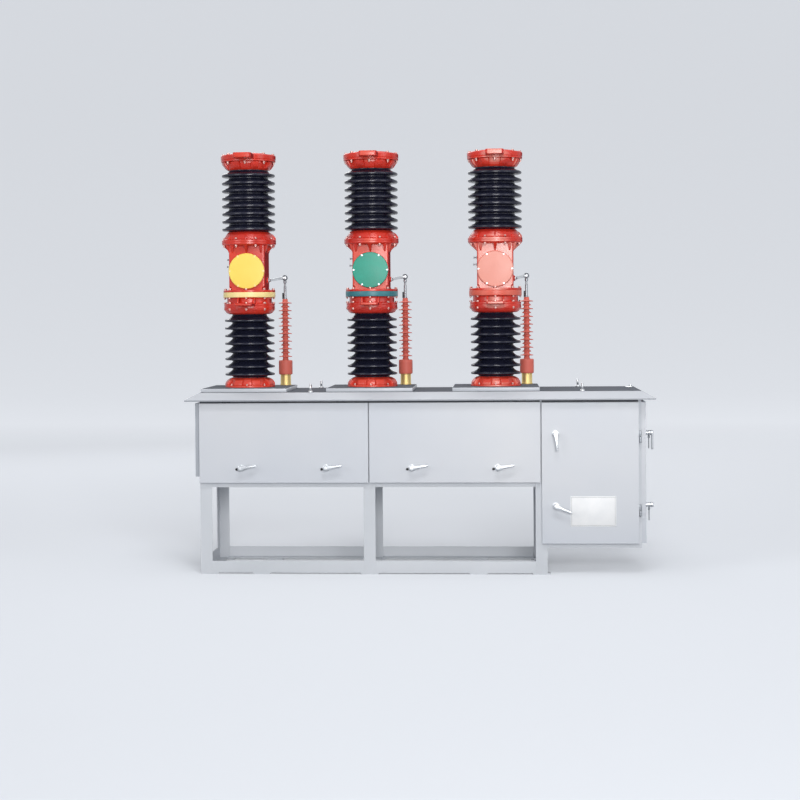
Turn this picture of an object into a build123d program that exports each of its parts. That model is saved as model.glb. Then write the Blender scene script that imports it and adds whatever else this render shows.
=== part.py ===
from build123d import *
from math import atan2, degrees, hypot
import os

# Outdoor vacuum circuit breaker, in millimetres: three red poles on a long sheet-metal
# mechanism box with a hipped flat roof, a control cabinet at the right end and a steel stand.
# +Z is up, +X runs along the row of poles to the cabinet, and -Y is the front.
# The origin is on the ground, at the centre of the foundation holes, below the middle pole.

# Steel frame of equal angles
angle_leg = 65
angle_t = 6
pad_t = 8
pad_length = 98
frame_front = -330
frame_rear = 330
frame_top = 1003
middle_post_x = 0
common_post_inset = 5
cabinet_width = 545
cabinet_bottom = 148
middle_rail_bottom = 482
anchor_inset = 100
anchor_hole_d = 18
end_pad_inset = 50
beam_width = 200
beam_depth = 60

# Covers and doors, folded trays of sheet that stand proud of the frame
tray_depth = 25
tray_sheet = 2
tray_corner_r = 4
seal_gap = 0.5
cover_bottom = 508
cover_head_gap = 55
cover_joint_gap = 6
cover_end_gap = 5
door_edge_gap = 2.5
door_hinge_gap = 16
door_bottom = 173
door_head_gap = 57.5
nameplate_inset = 154.5
nameplate_bottom = 268
nameplate_width = 248
nameplate_height = 165
nameplate_t = 1.5
side_door_front = -318
side_door_rear = 312
wall_sheet = 3
panel_gap = 0.5

# Roof
roof_sheet = 3
roof_flat_margin = 2
roof_overhang_x = 73
roof_overhang_y = 63
roof_rise = 38
roof_lip = 8
eye_left_x = -322
eye_right_x = 1172
eye_inset_y = 17
eye_ring_r = 15
eye_wire_r = 6
eye_collar_r = 14
eye_collar_h = 12

# Hinges
barrel_r = 7
barrel_length = 65
barrel_clearance = 1
door_hinge_heights = (355, 757)
flap_pin_r = 3.5
flap_pin_drop = 6
flap_pin_y_gap = 6
flap_knuckle_length = 50
flap_knuckle_inset = 150
knuckle_gap = 1

# Swing handles
handle_hub_r = 12
handle_tip_r = 5.5
handle_reach = 92
handle_hub_h = 30
handle_lever_t = 13
handle_gap = 0.3
cover_handle_z = 590
cover_handle_x = (-708, -236, 236, 708)
cover_handle_angle = 10
door_handle_inset = 75.5
door_upper_handle_z = 774
door_lower_handle_z = 379
side_handle_y = -270

# Poles, heights above the ground
pole_pitch = 700
plate_width = 480
plate_depth = 560
plate_t = 20
base_flange_h = 55
lower_insulator_h = 359
lower_bell_h = 34
lower_flange_h = 26
drum_h = 35
ring_h = 30
housing_flange_h = 12
body_h = 255
housing_top_flange_h = 15.5
upper_flange_h = 17.5
upper_bell_h = 43
upper_insulator_h = 348
top_bell_h = 36
top_flange_h = 12
cap_h = 48

# Poles, radii and widths
base_flange_r = 145
base_flange_rim = 15
base_bell_r = 130
base_neck_r = 109
lower_core_r = 98
lower_shed_r = 141
lower_flange_r = 144
lower_bell_r = 119
drum_r = 134
ring_r = 148.5
ring_proud = 1
housing_flange_r = 147.5
body_width = 204
body_depth = 208
body_corner_r = 10
flange_r = 154
rib_t = 8
rib_spread = 78
rib_drop = 44
cover_seat_r = 99
cover_seat_h = 8
cover_r = 102.5
cover_t = 13
cover_edge_r = 3
cover_height = 107
upper_bell_r = 138
upper_core_r = 112
upper_shed_r = 151
upper_neck_r = 117
top_bell_r = 142
cap_r = 156
cap_edge_r = 4
terminal_width = 100
terminal_reach = 280
top_pad_t = 27
top_pad_drop = 12
lower_pad_t = 12
gusset_t = 9
gusset_reach = 160
terminal_hole_d = 14
terminal_hole_pitch = 50
terminal_hole_edge = 28

# Sheds of the two insulators
shed_count = 8
shed_pitch = 43.6
shed_rise = 25
shed_tip_r = 4
shed_root_w = 14
shed_root_h = 9
lower_first_shed = 18
upper_first_shed = 14

# Side post with its link, behind the right shoulder of each pole
post_dx = 178
post_dy = 230
post_base_r = 30
post_base_h = 63
post_drum_r = 40
post_drum_h = 82
post_core_r = 15.5
post_big_shed_r = 38.5
post_small_shed_r = 25
post_shed_t = 4
post_sheds = 8
post_shed_pitch = 44.4
post_first_shed = 20
post_core_h = 356
sleeve_r = 12
sleeve_h = 37
rod_r = 7.5
rod_h = 86
eye_r = 15
eye_t = 16
link_t = 6
link_h = 20
link_pad_length = 36
boss_r = 20
boss_h = 16

# Worked out from the sizes above
frame_left = -pole_pitch - plate_width / 2
common_post_x = pole_pitch + plate_width / 2 + common_post_inset
cabinet_right = common_post_x + cabinet_width
anchor_x = pole_pitch - anchor_inset
cover_right = common_post_x - cover_end_gap
door_left = common_post_x + door_edge_gap
door_right = cabinet_right - door_hinge_gap
cover_top = frame_top - cover_head_gap
door_top = frame_top - door_head_gap
door_handle_x = door_left + door_handle_inset
common_post_left = common_post_x - angle_leg / 2
common_post_right = common_post_x + angle_leg / 2
middle_post_left = middle_post_x - angle_leg / 2
middle_post_right = middle_post_x + angle_leg / 2
rail_top_low = pad_t + angle_leg
front_face = frame_front - seal_gap
cover_face = front_face - tray_depth
side_face = cabinet_right + seal_gap + tray_depth
roof_top = frame_top + roof_sheet
plate_top = roof_top + plate_t
lower_insulator_z = plate_top + base_flange_h
lower_bell_z = lower_insulator_z + lower_insulator_h
lower_flange_z = lower_bell_z + lower_bell_h
drum_z = lower_flange_z + lower_flange_h
ring_z = drum_z + drum_h
housing_z = ring_z + ring_h
body_z = housing_z + housing_flange_h
housing_top_z = body_z + body_h
upper_flange_z = housing_top_z + housing_top_flange_h
upper_bell_z = upper_flange_z + upper_flange_h
upper_insulator_z = upper_bell_z + upper_bell_h
top_bell_z = upper_insulator_z + upper_insulator_h
top_flange_z = top_bell_z + top_bell_h
cap_z = top_flange_z + top_flange_h
cap_top = cap_z + cap_h
cover_z = body_z + cover_height
post_drum_z = plate_top + post_base_h
post_core_z = post_drum_z + post_drum_h
sleeve_z = post_core_z + post_core_h
rod_z = sleeve_z + sleeve_h
eye_z = rod_z + rod_h
poles = {"left": -pole_pitch, "middle": 0, "right": pole_pitch}

os.makedirs("parts", exist_ok=True)


def save(part, name):
    """Label a finished piece and write its STEP file."""
    part.label = name
    export_step(part, f"parts/{name}.step")


def pole_plane(x):
    """Upright plane through a pole's axis: local x is the radius, local y the height."""
    return Plane(origin=(x, 0, 0), x_dir=(1, 0, 0), z_dir=(0, -1, 0))


def pole_axis(x):
    return Axis((x, 0, 0), (0, 0, 1))


def corner_angle(x, y, to_x, to_y):
    """L section with its heel at x, y and its legs towards to_x and to_y (each 1 or -1)."""
    across = Align.MIN if to_x > 0 else Align.MAX
    along = Align.MIN if to_y > 0 else Align.MAX
    with Locations((x, y)):
        Rectangle(angle_leg, angle_t, align=(across, along))
        Rectangle(angle_t, angle_leg, align=(across, along))


def rail_along_x(x0, x1, y, z, to_y, to_z):
    """Angle rail between two X stations, heel at y, z."""
    with BuildSketch(Plane.YZ.offset(x0)) as section:
        corner_angle(y, z, to_y, to_z)
    extrude(section.sketch, amount=x1 - x0)


def rail_along_y(y0, y1, x, z, to_x, to_z):
    """Angle rail between two Y stations, heel at x, z."""
    with BuildSketch(Plane.XZ.offset(-y1)) as section:
        corner_angle(x, z, to_x, to_z)
    extrude(section.sketch, amount=y1 - y0)


def rail_ring(z, to_z, x_bays, x_ends):
    """Front, rear and end rails at one height, cut between the posts."""
    for x0, x1 in x_bays:
        rail_along_x(x0, x1, frame_front, z, 1, to_z)
        rail_along_x(x0, x1, frame_rear, z, -1, to_z)
    for x, to_x in x_ends:
        rail_along_y(frame_front + angle_leg, frame_rear - angle_leg, x, z, to_x, to_z)


# Posts, from the foot pads to the roof, and the cabinet's two outer posts
with BuildPart() as posts:
    with BuildSketch(Plane.XY.offset(pad_t)):
        for y, to_y in ((frame_front, 1), (frame_rear, -1)):
            corner_angle(frame_left, y, 1, to_y)
            corner_angle(middle_post_left, y, 1, to_y)
            corner_angle(common_post_right, y, -1, to_y)
    extrude(amount=frame_top - pad_t)
    with BuildSketch(Plane.XY.offset(cabinet_bottom)):
        for y, to_y in ((frame_front, 1), (frame_rear, -1)):
            corner_angle(cabinet_right, y, -1, to_y)
    extrude(amount=frame_top - cabinet_bottom)
save(posts.part, "frame_posts")

box_bays = ((frame_left + angle_leg, middle_post_left), (middle_post_right, common_post_left))
box_ends = ((frame_left, 1), (common_post_right, -1))

with BuildPart() as bottom_rails:
    rail_ring(pad_t, 1, box_bays, box_ends)
    with BuildSketch(Plane.XY.offset(pad_t)):
        with GridLocations(2 * anchor_x, frame_rear - frame_front - angle_leg, 2, 2):
            Circle(anchor_hole_d / 2)
    extrude(amount=angle_t, mode=Mode.SUBTRACT)
save(bottom_rails.part, "bottom_rails")

with BuildPart() as middle_rails:
    rail_ring(middle_rail_bottom, 1, box_bays, box_ends)
save(middle_rails.part, "middle_rails")

with BuildPart() as top_rails:
    rail_ring(frame_top, -1, box_bays, box_ends)
save(top_rails.part, "top_rails")

cabinet_bay = ((common_post_right + wall_sheet, cabinet_right - angle_leg),)
with BuildPart() as cabinet_rails:
    rail_ring(cabinet_bottom, 1, cabinet_bay, ((cabinet_right, -1),))
    rail_ring(frame_top, -1, cabinet_bay, ((cabinet_right, -1),))
save(cabinet_rails.part, "cabinet_rails")

# Foot pads under the rails, four of them over the foundation bolts
pad_stations = (frame_left + end_pad_inset, -anchor_x, middle_post_x, anchor_x, common_post_x)
with BuildPart() as feet:
    with BuildSketch():
        for y in (frame_front + angle_leg / 2, frame_rear - angle_leg / 2):
            with Locations(*[(x, y) for x in pad_stations]):
                Rectangle(pad_length, angle_leg)
        with GridLocations(2 * anchor_x, frame_rear - frame_front - angle_leg, 2, 2):
            Circle(anchor_hole_d / 2, mode=Mode.SUBTRACT)
    extrude(amount=pad_t)
save(feet.part, "foot_pads")

# Beams from front rail to rear rail that carry the poles
with BuildPart() as beams:
    with BuildSketch(Plane.XY.offset(frame_top - beam_depth)):
        with Locations(*[(x, 0) for x in poles.values()]):
            Rectangle(beam_width, frame_rear - frame_front - 2 * angle_leg)
    extrude(amount=beam_depth)
save(beams.part, "pole_beams")

with BuildPart() as box_floor:
    with BuildSketch(Plane.XY.offset(middle_rail_bottom + angle_t)):
        with Locations(((frame_left + common_post_right) / 2, 0)):
            Rectangle(
                common_post_right - frame_left - 2 * angle_leg,
                frame_rear - frame_front - 2 * angle_t - 2 * panel_gap,
            )
        for y in (frame_front, frame_rear):
            with Locations((middle_post_x, y)):
                Rectangle(angle_leg + 2 * panel_gap, 2 * angle_leg + 2 * panel_gap, mode=Mode.SUBTRACT)
    extrude(amount=wall_sheet)
save(box_floor.part, "box_floor")


def tray(plane, width, height):
    """Folded sheet tray whose open back lies on the plane."""
    with BuildSketch(plane) as outline:
        RectangleRounded(width, height, tray_corner_r)
    extrude(outline.sketch, amount=tray_depth)
    with BuildSketch(plane) as hollow:
        RectangleRounded(width - 2 * tray_sheet, height - 2 * tray_sheet, tray_corner_r - tray_sheet)
    extrude(hollow.sketch, amount=tray_depth - tray_sheet, mode=Mode.SUBTRACT)


def facing_front(x_centre, z_centre):
    return Plane(origin=(x_centre, front_face, z_centre), x_dir=(1, 0, 0), z_dir=(0, -1, 0))


def facing_rear(x_centre, z_centre):
    return Plane(origin=(x_centre, -front_face, z_centre), x_dir=(-1, 0, 0), z_dir=(0, 1, 0))


cover_height_z = cover_top - cover_bottom
cover_mid_z = (cover_top + cover_bottom) / 2
cover_span = {
    "left": (frame_left, -cover_joint_gap / 2),
    "right": (cover_joint_gap / 2, cover_right),
}
flap_axis_z = cover_top + flap_pin_drop
flap_axis_y = frame_front - flap_pin_y_gap

# Front covers, flaps hinged under the eave, each with two swing handles
for side, (x0, x1) in cover_span.items():
    with BuildPart() as flap:
        tray(facing_front((x0 + x1) / 2, cover_mid_z), x1 - x0, cover_height_z)
        for x in (x0 + flap_knuckle_inset, x1 - flap_knuckle_inset):
            with BuildSketch(Plane.YZ.offset(x - flap_knuckle_length / 2)):
                with Locations((flap_axis_y, cover_top)):
                    Rectangle(2 * flap_pin_r, flap_pin_drop, align=(Align.CENTER, Align.MIN))
                with Locations((flap_axis_y, flap_axis_z)):
                    Circle(flap_pin_r)
            extrude(amount=flap_knuckle_length / 2 - knuckle_gap / 2)
    save(flap.part, f"{side}_front_cover")

# Rear covers, screwed on, and the cover of the left end
with BuildPart() as rear_covers:
    for x0, x1 in cover_span.values():
        tray(facing_rear((x0 + x1) / 2, cover_mid_z), x1 - x0, cover_height_z)
save(rear_covers.part, "rear_covers")

with BuildPart() as end_cover:
    plane = Plane(
        origin=(frame_left - seal_gap, 0, cover_mid_z + (tray_depth + roof_lip) / 2),
        x_dir=(0, -1, 0),
        z_dir=(-1, 0, 0),
    )
    tray(plane, frame_rear - frame_front, cover_height_z - tray_depth - roof_lip)
save(end_cover.part, "left_end_cover")

# Cabinet walls and floor
with BuildPart() as cabinet_panels:
    with BuildSketch(Plane.YZ.offset(common_post_right)):
        with Locations((0, cabinet_bottom)):
            Rectangle(
                frame_rear - frame_front, frame_top - cabinet_bottom, align=(Align.CENTER, Align.MIN)
            )
    extrude(amount=wall_sheet)
    with BuildSketch(Plane.XY.offset(cabinet_bottom + angle_t)):
        floor_left = common_post_right + wall_sheet + panel_gap
        floor_right = cabinet_right - angle_t - panel_gap
        with Locations(((floor_left + floor_right) / 2, 0)):
            Rectangle(floor_right - floor_left, frame_rear - frame_front - 2 * angle_t - 2 * panel_gap)
    extrude(amount=wall_sheet)
save(cabinet_panels.part, "cabinet_panels")

door_mid_x = (door_left + door_right) / 2
door_mid_z = (door_bottom + door_top) / 2
with BuildPart() as cabinet_back:
    tray(facing_rear(door_mid_x, door_mid_z), door_right - door_left, door_top - door_bottom)
save(cabinet_back.part, "cabinet_back_cover")

# Doors turn on barrels beside their outer corner
front_pin_x = door_right + barrel_r + barrel_clearance
front_pin_y = cover_face + barrel_r / 2
side_pin_x = side_face - barrel_r / 2
side_pin_y = side_door_rear + barrel_r + barrel_clearance
half_barrel = (barrel_length - knuckle_gap) / 2

with BuildPart() as cabinet_door:
    tray(facing_front(door_mid_x, door_mid_z), door_right - door_left, door_top - door_bottom)
    for z in door_hinge_heights:
        with BuildSketch(Plane.XY.offset(z + knuckle_gap / 2)):
            with Locations((front_pin_x, front_pin_y)):
                Circle(barrel_r)
            with Locations((door_right, front_pin_y)):
                Rectangle(barrel_r, barrel_r, align=(Align.MIN, Align.CENTER))
        extrude(amount=half_barrel)
save(cabinet_door.part, "cabinet_door")

with BuildPart() as nameplate:
    with BuildSketch(Plane.XZ.offset(-cover_face)):
        with Locations((door_left + nameplate_inset, nameplate_bottom)):
            Rectangle(nameplate_width, nameplate_height, align=(Align.MIN, Align.MIN))
    extrude(amount=nameplate_t)
save(nameplate.part, "nameplate")

with BuildPart() as side_door:
    plane = Plane(
        origin=(cabinet_right + seal_gap, (side_door_front + side_door_rear) / 2, door_mid_z),
        x_dir=(0, 1, 0),
        z_dir=(1, 0, 0),
    )
    tray(plane, side_door_rear - side_door_front, door_top - door_bottom)
    for z in door_hinge_heights:
        with BuildSketch(Plane.XY.offset(z + knuckle_gap / 2)):
            with Locations((side_pin_x, side_pin_y)):
                Circle(barrel_r)
            with Locations((side_pin_x, side_door_rear)):
                Rectangle(barrel_r, barrel_r, align=(Align.CENTER, Align.MIN))
        extrude(amount=half_barrel)
save(side_door.part, "side_door")

# Fixed knuckles with their leaves, below those of the doors and beside those of the flaps
with BuildPart() as hinges:
    for z in door_hinge_heights:
        with BuildSketch(Plane.XY.offset(z - knuckle_gap / 2 - half_barrel)):
            with Locations((front_pin_x, front_pin_y)):
                Circle(barrel_r)
                Rectangle(barrel_r, frame_front - front_pin_y, align=(Align.MIN, Align.MIN))
            with Locations((side_pin_x, side_pin_y)):
                Circle(barrel_r)
                Rectangle(side_pin_x - cabinet_right, barrel_r, align=(Align.MAX, Align.MIN))
        extrude(amount=half_barrel)
    for x0, x1 in cover_span.values():
        for x in (x0 + flap_knuckle_inset, x1 - flap_knuckle_inset):
            with BuildSketch(Plane.YZ.offset(x + knuckle_gap / 2)):
                with Locations((flap_axis_y, flap_axis_z)):
                    Circle(flap_pin_r)
                    Rectangle(flap_pin_y_gap, 2 * flap_pin_r, align=(Align.MIN, Align.CENTER))
            extrude(amount=flap_knuckle_length / 2 - knuckle_gap / 2)
save(hinges.part, "hinges")


def lever(face, angle):
    """Swing handle on a face: round hub, then a lever that tapers to its tip."""
    plane = Plane(face.location * Rotation(0, 0, angle))
    with BuildSketch(plane) as hub:
        Circle(handle_hub_r)
    extrude(hub.sketch, amount=handle_hub_h)
    with BuildSketch(plane.offset(handle_hub_h)) as blade:
        with BuildLine():
            hub_top = (0, handle_hub_r)
            hub_low = (0, -handle_hub_r)
            tip_top = (handle_reach - handle_tip_r, handle_tip_r)
            tip_low = (handle_reach - handle_tip_r, -handle_tip_r)
            Line(hub_top, tip_top)
            ThreePointArc(tip_top, (handle_reach, 0), tip_low)
            Line(tip_low, hub_low)
            ThreePointArc(hub_low, (-handle_hub_r, 0), hub_top)
        make_face()
    extrude(blade.sketch, amount=handle_lever_t)


def front_handle_plane(x, z):
    return Plane(origin=(x, cover_face - handle_gap, z), x_dir=(1, 0, 0), z_dir=(0, -1, 0))


def side_handle_plane(y, z):
    return Plane(origin=(side_face + handle_gap, y, z), x_dir=(0, 1, 0), z_dir=(1, 0, 0))


handles = {
    "left_cover_left_handle": (front_handle_plane(cover_handle_x[0], cover_handle_z), cover_handle_angle),
    "left_cover_right_handle": (front_handle_plane(cover_handle_x[1], cover_handle_z), cover_handle_angle),
    "right_cover_left_handle": (front_handle_plane(cover_handle_x[2], cover_handle_z), cover_handle_angle),
    "right_cover_right_handle": (front_handle_plane(cover_handle_x[3], cover_handle_z), cover_handle_angle),
    "cabinet_door_upper_handle": (front_handle_plane(door_handle_x, door_upper_handle_z), -85),
    "cabinet_door_lower_handle": (front_handle_plane(door_handle_x, door_lower_handle_z), -22),
    "side_door_upper_handle": (side_handle_plane(side_handle_y, door_upper_handle_z), -90),
    "side_door_lower_handle": (side_handle_plane(side_handle_y, door_lower_handle_z), 0),
}
for name, (face, angle) in handles.items():
    with BuildPart() as handle:
        lever(face, angle)
    save(handle.part, name)

# Roof, a hipped sheet cap with a turned-down lip
flat_x0 = frame_left - roof_flat_margin
flat_x1 = cabinet_right + roof_flat_margin
flat_y = frame_rear + roof_flat_margin
flat_width = flat_x1 - flat_x0
eave_z = roof_top - roof_rise
roof_centre = ((flat_x0 + flat_x1) / 2, 0)
with BuildPart() as roof:
    with BuildSketch(Plane.XY.offset(eave_z)):
        with Locations(roof_centre):
            Rectangle(flat_width + 2 * roof_overhang_x, 2 * (flat_y + roof_overhang_y))
    with BuildSketch(Plane.XY.offset(roof_top)):
        with Locations(roof_centre):
            Rectangle(flat_width, 2 * flat_y)
    loft()
    with BuildSketch(Plane.XY.offset(eave_z)):
        with Locations(roof_centre):
            Rectangle(flat_width + 2 * roof_overhang_x, 2 * (flat_y + roof_overhang_y))
    extrude(amount=-roof_lip)
    offset(amount=-roof_sheet, openings=faces().sort_by(Axis.Z)[0])
save(roof.part, "roof")

with BuildPart() as plates:
    with BuildSketch(Plane.XY.offset(roof_top)):
        with Locations(*[(x, 0) for x in poles.values()]):
            Rectangle(plate_width, plate_depth)
    extrude(amount=plate_t)
save(plates.part, "pole_plates")

# Lifting eyes, four rings on collars at the front and rear of the roof
with BuildPart() as eyes:
    for x in (eye_left_x, eye_right_x):
        for y in (-flat_y + eye_inset_y, flat_y - eye_inset_y):
            with BuildSketch(Plane.XY.offset(roof_top)):
                with Locations((x, y)):
                    Circle(eye_collar_r)
            extrude(amount=eye_collar_h)
            with Locations((x, y, roof_top + eye_collar_h + eye_ring_r)):
                Torus(eye_ring_r, eye_wire_r, rotation=(0, 90, 0))
save(eyes.part, "lifting_eyes")


def ringed_profile(core_r, shed_r, bottom, height, first_shed):
    """Half outline of an insulator: a core with sheds whose tops slope and whose undersides are flat."""
    top = bottom + height
    start = (core_r, bottom)
    here = start
    for index in range(shed_count):
        tip_z = bottom + first_shed + index * shed_pitch
        under = (core_r, tip_z - shed_tip_r)
        low_tip = (shed_r - shed_tip_r, tip_z - shed_tip_r)
        tip = (shed_r, tip_z)
        high_tip = (shed_r - shed_tip_r, tip_z + shed_tip_r)
        slope_end = (core_r + shed_root_w, tip_z + shed_rise - shed_root_h)
        root = (core_r, tip_z + shed_rise)
        bow = (core_r + 0.36 * shed_root_w, tip_z + shed_rise - 0.41 * shed_root_h)
        Line(here, under)
        Line(under, low_tip)
        ThreePointArc(low_tip, tip, high_tip)
        Line(high_tip, slope_end)
        ThreePointArc(slope_end, bow, root)
        here = root
    Line(here, (core_r, top))
    Line((core_r, top), (0, top))
    Line((0, top), (0, bottom))
    Line((0, bottom), start)


def flanged_bell(x, neck_z, neck_r, bell_z, bell_r, rim_z, rim_r):
    """Bell-shaped flange turned about a pole's axis, from its neck by a curve to its rim."""
    with BuildSketch(pole_plane(x)) as half:
        with BuildLine():
            Line((0, neck_z), (neck_r, neck_z))
            Spline((neck_r, neck_z), (bell_r, bell_z), tangents=((neck_r * 0.9, 0), (0, bell_z - neck_z)))
            if rim_r > bell_r:
                Line((bell_r, bell_z), (rim_r, bell_z))
            Line((rim_r, bell_z), (rim_r, rim_z))
            Line((rim_r, rim_z), (0, rim_z))
            Line((0, rim_z), (0, neck_z))
        make_face()
    revolve(half.sketch, axis=pole_axis(x))


# Bell flanges of the poles: at the base, above the housing, and below the top terminal
with BuildPart() as base_flanges:
    for x in poles.values():
        flanged_bell(
            x, lower_insulator_z, base_neck_r, plate_top + base_flange_rim, base_bell_r, plate_top, base_flange_r
        )
save(base_flanges.part, "base_flanges")

with BuildPart() as upper_flanges:
    for x in poles.values():
        flanged_bell(x, upper_insulator_z, upper_neck_r, upper_bell_z, upper_bell_r, upper_flange_z, flange_r)
        flanged_bell(x, top_bell_z, upper_neck_r, top_flange_z, top_bell_r, cap_z, top_bell_r)
save(upper_flanges.part, "upper_flanges")


def terminal_pad(x, reach_from, z_low, thickness):
    """Flat pad towards the front with four bolt holes."""
    with BuildSketch(Plane.XY.offset(z_low)) as pad:
        with Locations((x, -terminal_reach)):
            Rectangle(terminal_width, terminal_reach - reach_from, align=(Align.CENTER, Align.MIN))
        with Locations((x, -terminal_reach + terminal_hole_edge + terminal_hole_pitch / 2)):
            with GridLocations(terminal_hole_pitch, terminal_hole_pitch, 2, 2):
                Circle(terminal_hole_d / 2, mode=Mode.SUBTRACT)
    extrude(pad.sketch, amount=thickness)


insulators = {
    "lower_insulators": (lower_core_r, lower_shed_r, lower_insulator_z, lower_insulator_h, lower_first_shed),
    "upper_insulators": (upper_core_r, upper_shed_r, upper_insulator_z, upper_insulator_h, upper_first_shed),
}
for name, sizes in insulators.items():
    with BuildPart() as insulator:
        for x in poles.values():
            with BuildSketch(pole_plane(x)):
                with BuildLine():
                    ringed_profile(*sizes)
                make_face()
            revolve(axis=pole_axis(x))
    save(insulator.part, name)

# Lower terminals: bell over the insulator, bolted flange, drum and the pad between two gussets
with BuildPart() as lower_terminals:
    for x in poles.values():
        flanged_bell(x, lower_bell_z, lower_bell_r, lower_flange_z, lower_flange_r, drum_z, lower_flange_r)
        with BuildSketch(Plane.XY.offset(drum_z)):
            with Locations((x, 0)):
                Circle(drum_r)
            for edge in (x - (terminal_width - gusset_t) / 2, x + (terminal_width - gusset_t) / 2):
                with Locations((edge, 0)):
                    Rectangle(gusset_t, gusset_reach, align=(Align.CENTER, Align.MAX))
        extrude(amount=drum_h)
        terminal_pad(x, 0, drum_z - lower_pad_t, lower_pad_t)
save(lower_terminals.part, "lower_terminals")


def rib(plane, centre, face, root, rim):
    """Wedge under the round top flange, from the flat side of the body out to the rim."""
    with BuildSketch(plane) as wedge:
        with BuildLine():
            Polyline(
                (centre + face * root, housing_top_z - rib_drop),
                (centre + face * rim, housing_top_z),
                (centre, housing_top_z),
                (centre, housing_top_z - rib_drop),
                close=True,
            )
        make_face()
    extrude(wedge.sketch, amount=rib_t)


# Mechanism housings: square castings between round flanges, ribbed below the upper flange
with BuildPart() as housings:
    for x in poles.values():
        with BuildSketch(Plane.XY.offset(housing_z)):
            with Locations((x, 0)):
                Circle(housing_flange_r)
        extrude(amount=housing_flange_h)
        with BuildSketch(Plane.XY.offset(body_z)):
            with Locations((x, 0)):
                RectangleRounded(body_width, body_depth, body_corner_r)
        extrude(amount=body_h)
        with BuildSketch(Plane.XY.offset(housing_top_z)):
            with Locations((x, 0)):
                Circle(flange_r)
        extrude(amount=housing_top_flange_h)
        for spread in (-rib_spread, 0, rib_spread):
            rim = (flange_r**2 - spread**2) ** 0.5
            for face in (-1, 1):
                rib(Plane.YZ.offset(x + spread - rib_t / 2), 0, face, body_depth / 2, rim)
                rib(Plane.XZ.offset(-spread - rib_t / 2), x, face, body_width / 2, rim)
        with BuildSketch(Plane.XZ.offset(body_depth / 2)):
            with Locations((x, cover_z)):
                Circle(cover_seat_r)
        extrude(amount=cover_seat_h)
        with BuildSketch(Plane.YZ.offset(x + body_width / 2)):
            with Locations((0, eye_z)):
                Circle(boss_r)
        extrude(amount=boss_h)
save(housings.part, "housings")

# Phase rings and round covers, painted in each pole's own colour
for side, x in poles.items():
    with BuildPart() as phase_ring:
        with BuildSketch(Plane.XY.offset(ring_z)):
            with Locations((x, 0)):
                Circle(ring_r)
        extrude(amount=ring_h)
    save(phase_ring.part, f"{side}_phase_ring")

    with BuildPart() as cover:
        with BuildSketch(Plane.XZ.offset(body_depth / 2 + cover_seat_h)):
            with Locations((x, cover_z)):
                Circle(cover_r)
        extrude(amount=cover_t)
        fillet(edges().filter_by(GeomType.CIRCLE).sort_by(Axis.Y)[0], cover_edge_r)
    save(cover.part, f"{side}_housing_cover")

with BuildPart() as top_terminals:
    for x in poles.values():
        with BuildSketch(Plane.XY.offset(cap_z)):
            with Locations((x, 0)):
                Circle(cap_r)
        extrude(amount=cap_h)
    fillet(edges().filter_by(GeomType.CIRCLE).group_by(Axis.Z)[-1], cap_edge_r)
    for x in poles.values():
        terminal_pad(x, 0, cap_top - top_pad_drop - top_pad_t, top_pad_t)
save(top_terminals.part, "top_terminals")

# Side posts: brass base, ribbed insulator and the rod that carries the link
with BuildPart() as post_bases:
    with BuildSketch(Plane.XY.offset(plate_top)):
        with Locations(*[(x + post_dx, post_dy) for x in poles.values()]):
            Circle(post_base_r)
    extrude(amount=post_base_h)
save(post_bases.part, "post_bases")

with BuildPart() as post_insulators:
    for z, radius, height in (
        (post_drum_z, post_drum_r, post_drum_h),
        (post_core_z, post_core_r, post_core_h),
    ):
        with BuildSketch(Plane.XY.offset(z)):
            with Locations(*[(x + post_dx, post_dy) for x in poles.values()]):
                Circle(radius)
        extrude(amount=height)
    for index in range(2 * post_sheds - 1):
        shed_z = post_core_z + post_first_shed + index * post_shed_pitch / 2
        with BuildSketch(Plane.XY.offset(shed_z)):
            with Locations(*[(x + post_dx, post_dy) for x in poles.values()]):
                Circle(post_big_shed_r if index % 2 == 0 else post_small_shed_r)
        extrude(amount=post_shed_t)
save(post_insulators.part, "post_insulators")

with BuildPart() as post_rods:
    for z, radius, height in ((sleeve_z, sleeve_r, sleeve_h), (rod_z, rod_r, rod_h)):
        with BuildSketch(Plane.XY.offset(z)):
            with Locations(*[(x + post_dx, post_dy) for x in poles.values()]):
                Circle(radius)
        extrude(amount=height)
    for x in poles.values():
        with BuildSketch(Plane.XZ.offset(-post_dy - eye_t / 2)):
            with Locations((x + post_dx, eye_z)):
                Circle(eye_r)
        extrude(amount=eye_t)
save(post_rods.part, "post_rods")

# Links: a flat bar from the boss on each housing back to the eye over its side post
boss_face = body_width / 2 + boss_h
bar_start = (boss_face + link_t, link_pad_length / 2 - link_t / 2)
bar_end = (post_dx - eye_r + link_t / 2, post_dy - eye_t / 2 - link_t)
bar_dx = bar_end[0] - bar_start[0]
bar_dy = bar_end[1] - bar_start[1]
with BuildPart() as links:
    for x in poles.values():
        with BuildSketch(Plane.XY.offset(eye_z - link_h / 2)):
            with Locations((x + boss_face, 0)):
                Rectangle(link_t, link_pad_length, align=(Align.MIN, Align.CENTER))
            with Locations((x + bar_start[0] + bar_dx / 2, bar_start[1] + bar_dy / 2)):
                Rectangle(hypot(bar_dx, bar_dy) + link_t, link_t, rotation=degrees(atan2(bar_dy, bar_dx)))
            with Locations((x + post_dx, post_dy - eye_t / 2)):
                Rectangle(2 * eye_r, link_t, align=(Align.CENTER, Align.MAX))
        extrude(amount=link_h)
save(links.part, "link_arms")
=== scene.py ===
"""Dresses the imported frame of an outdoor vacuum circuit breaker: every piece is modelled in
millimetres of the real breaker, in the frame's own place, and gets a procedural finish."""

import math

import bpy
from bpy.props import FloatProperty, FloatVectorProperty, IntProperty, PointerProperty
from mathutils import Matrix, Vector


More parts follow.
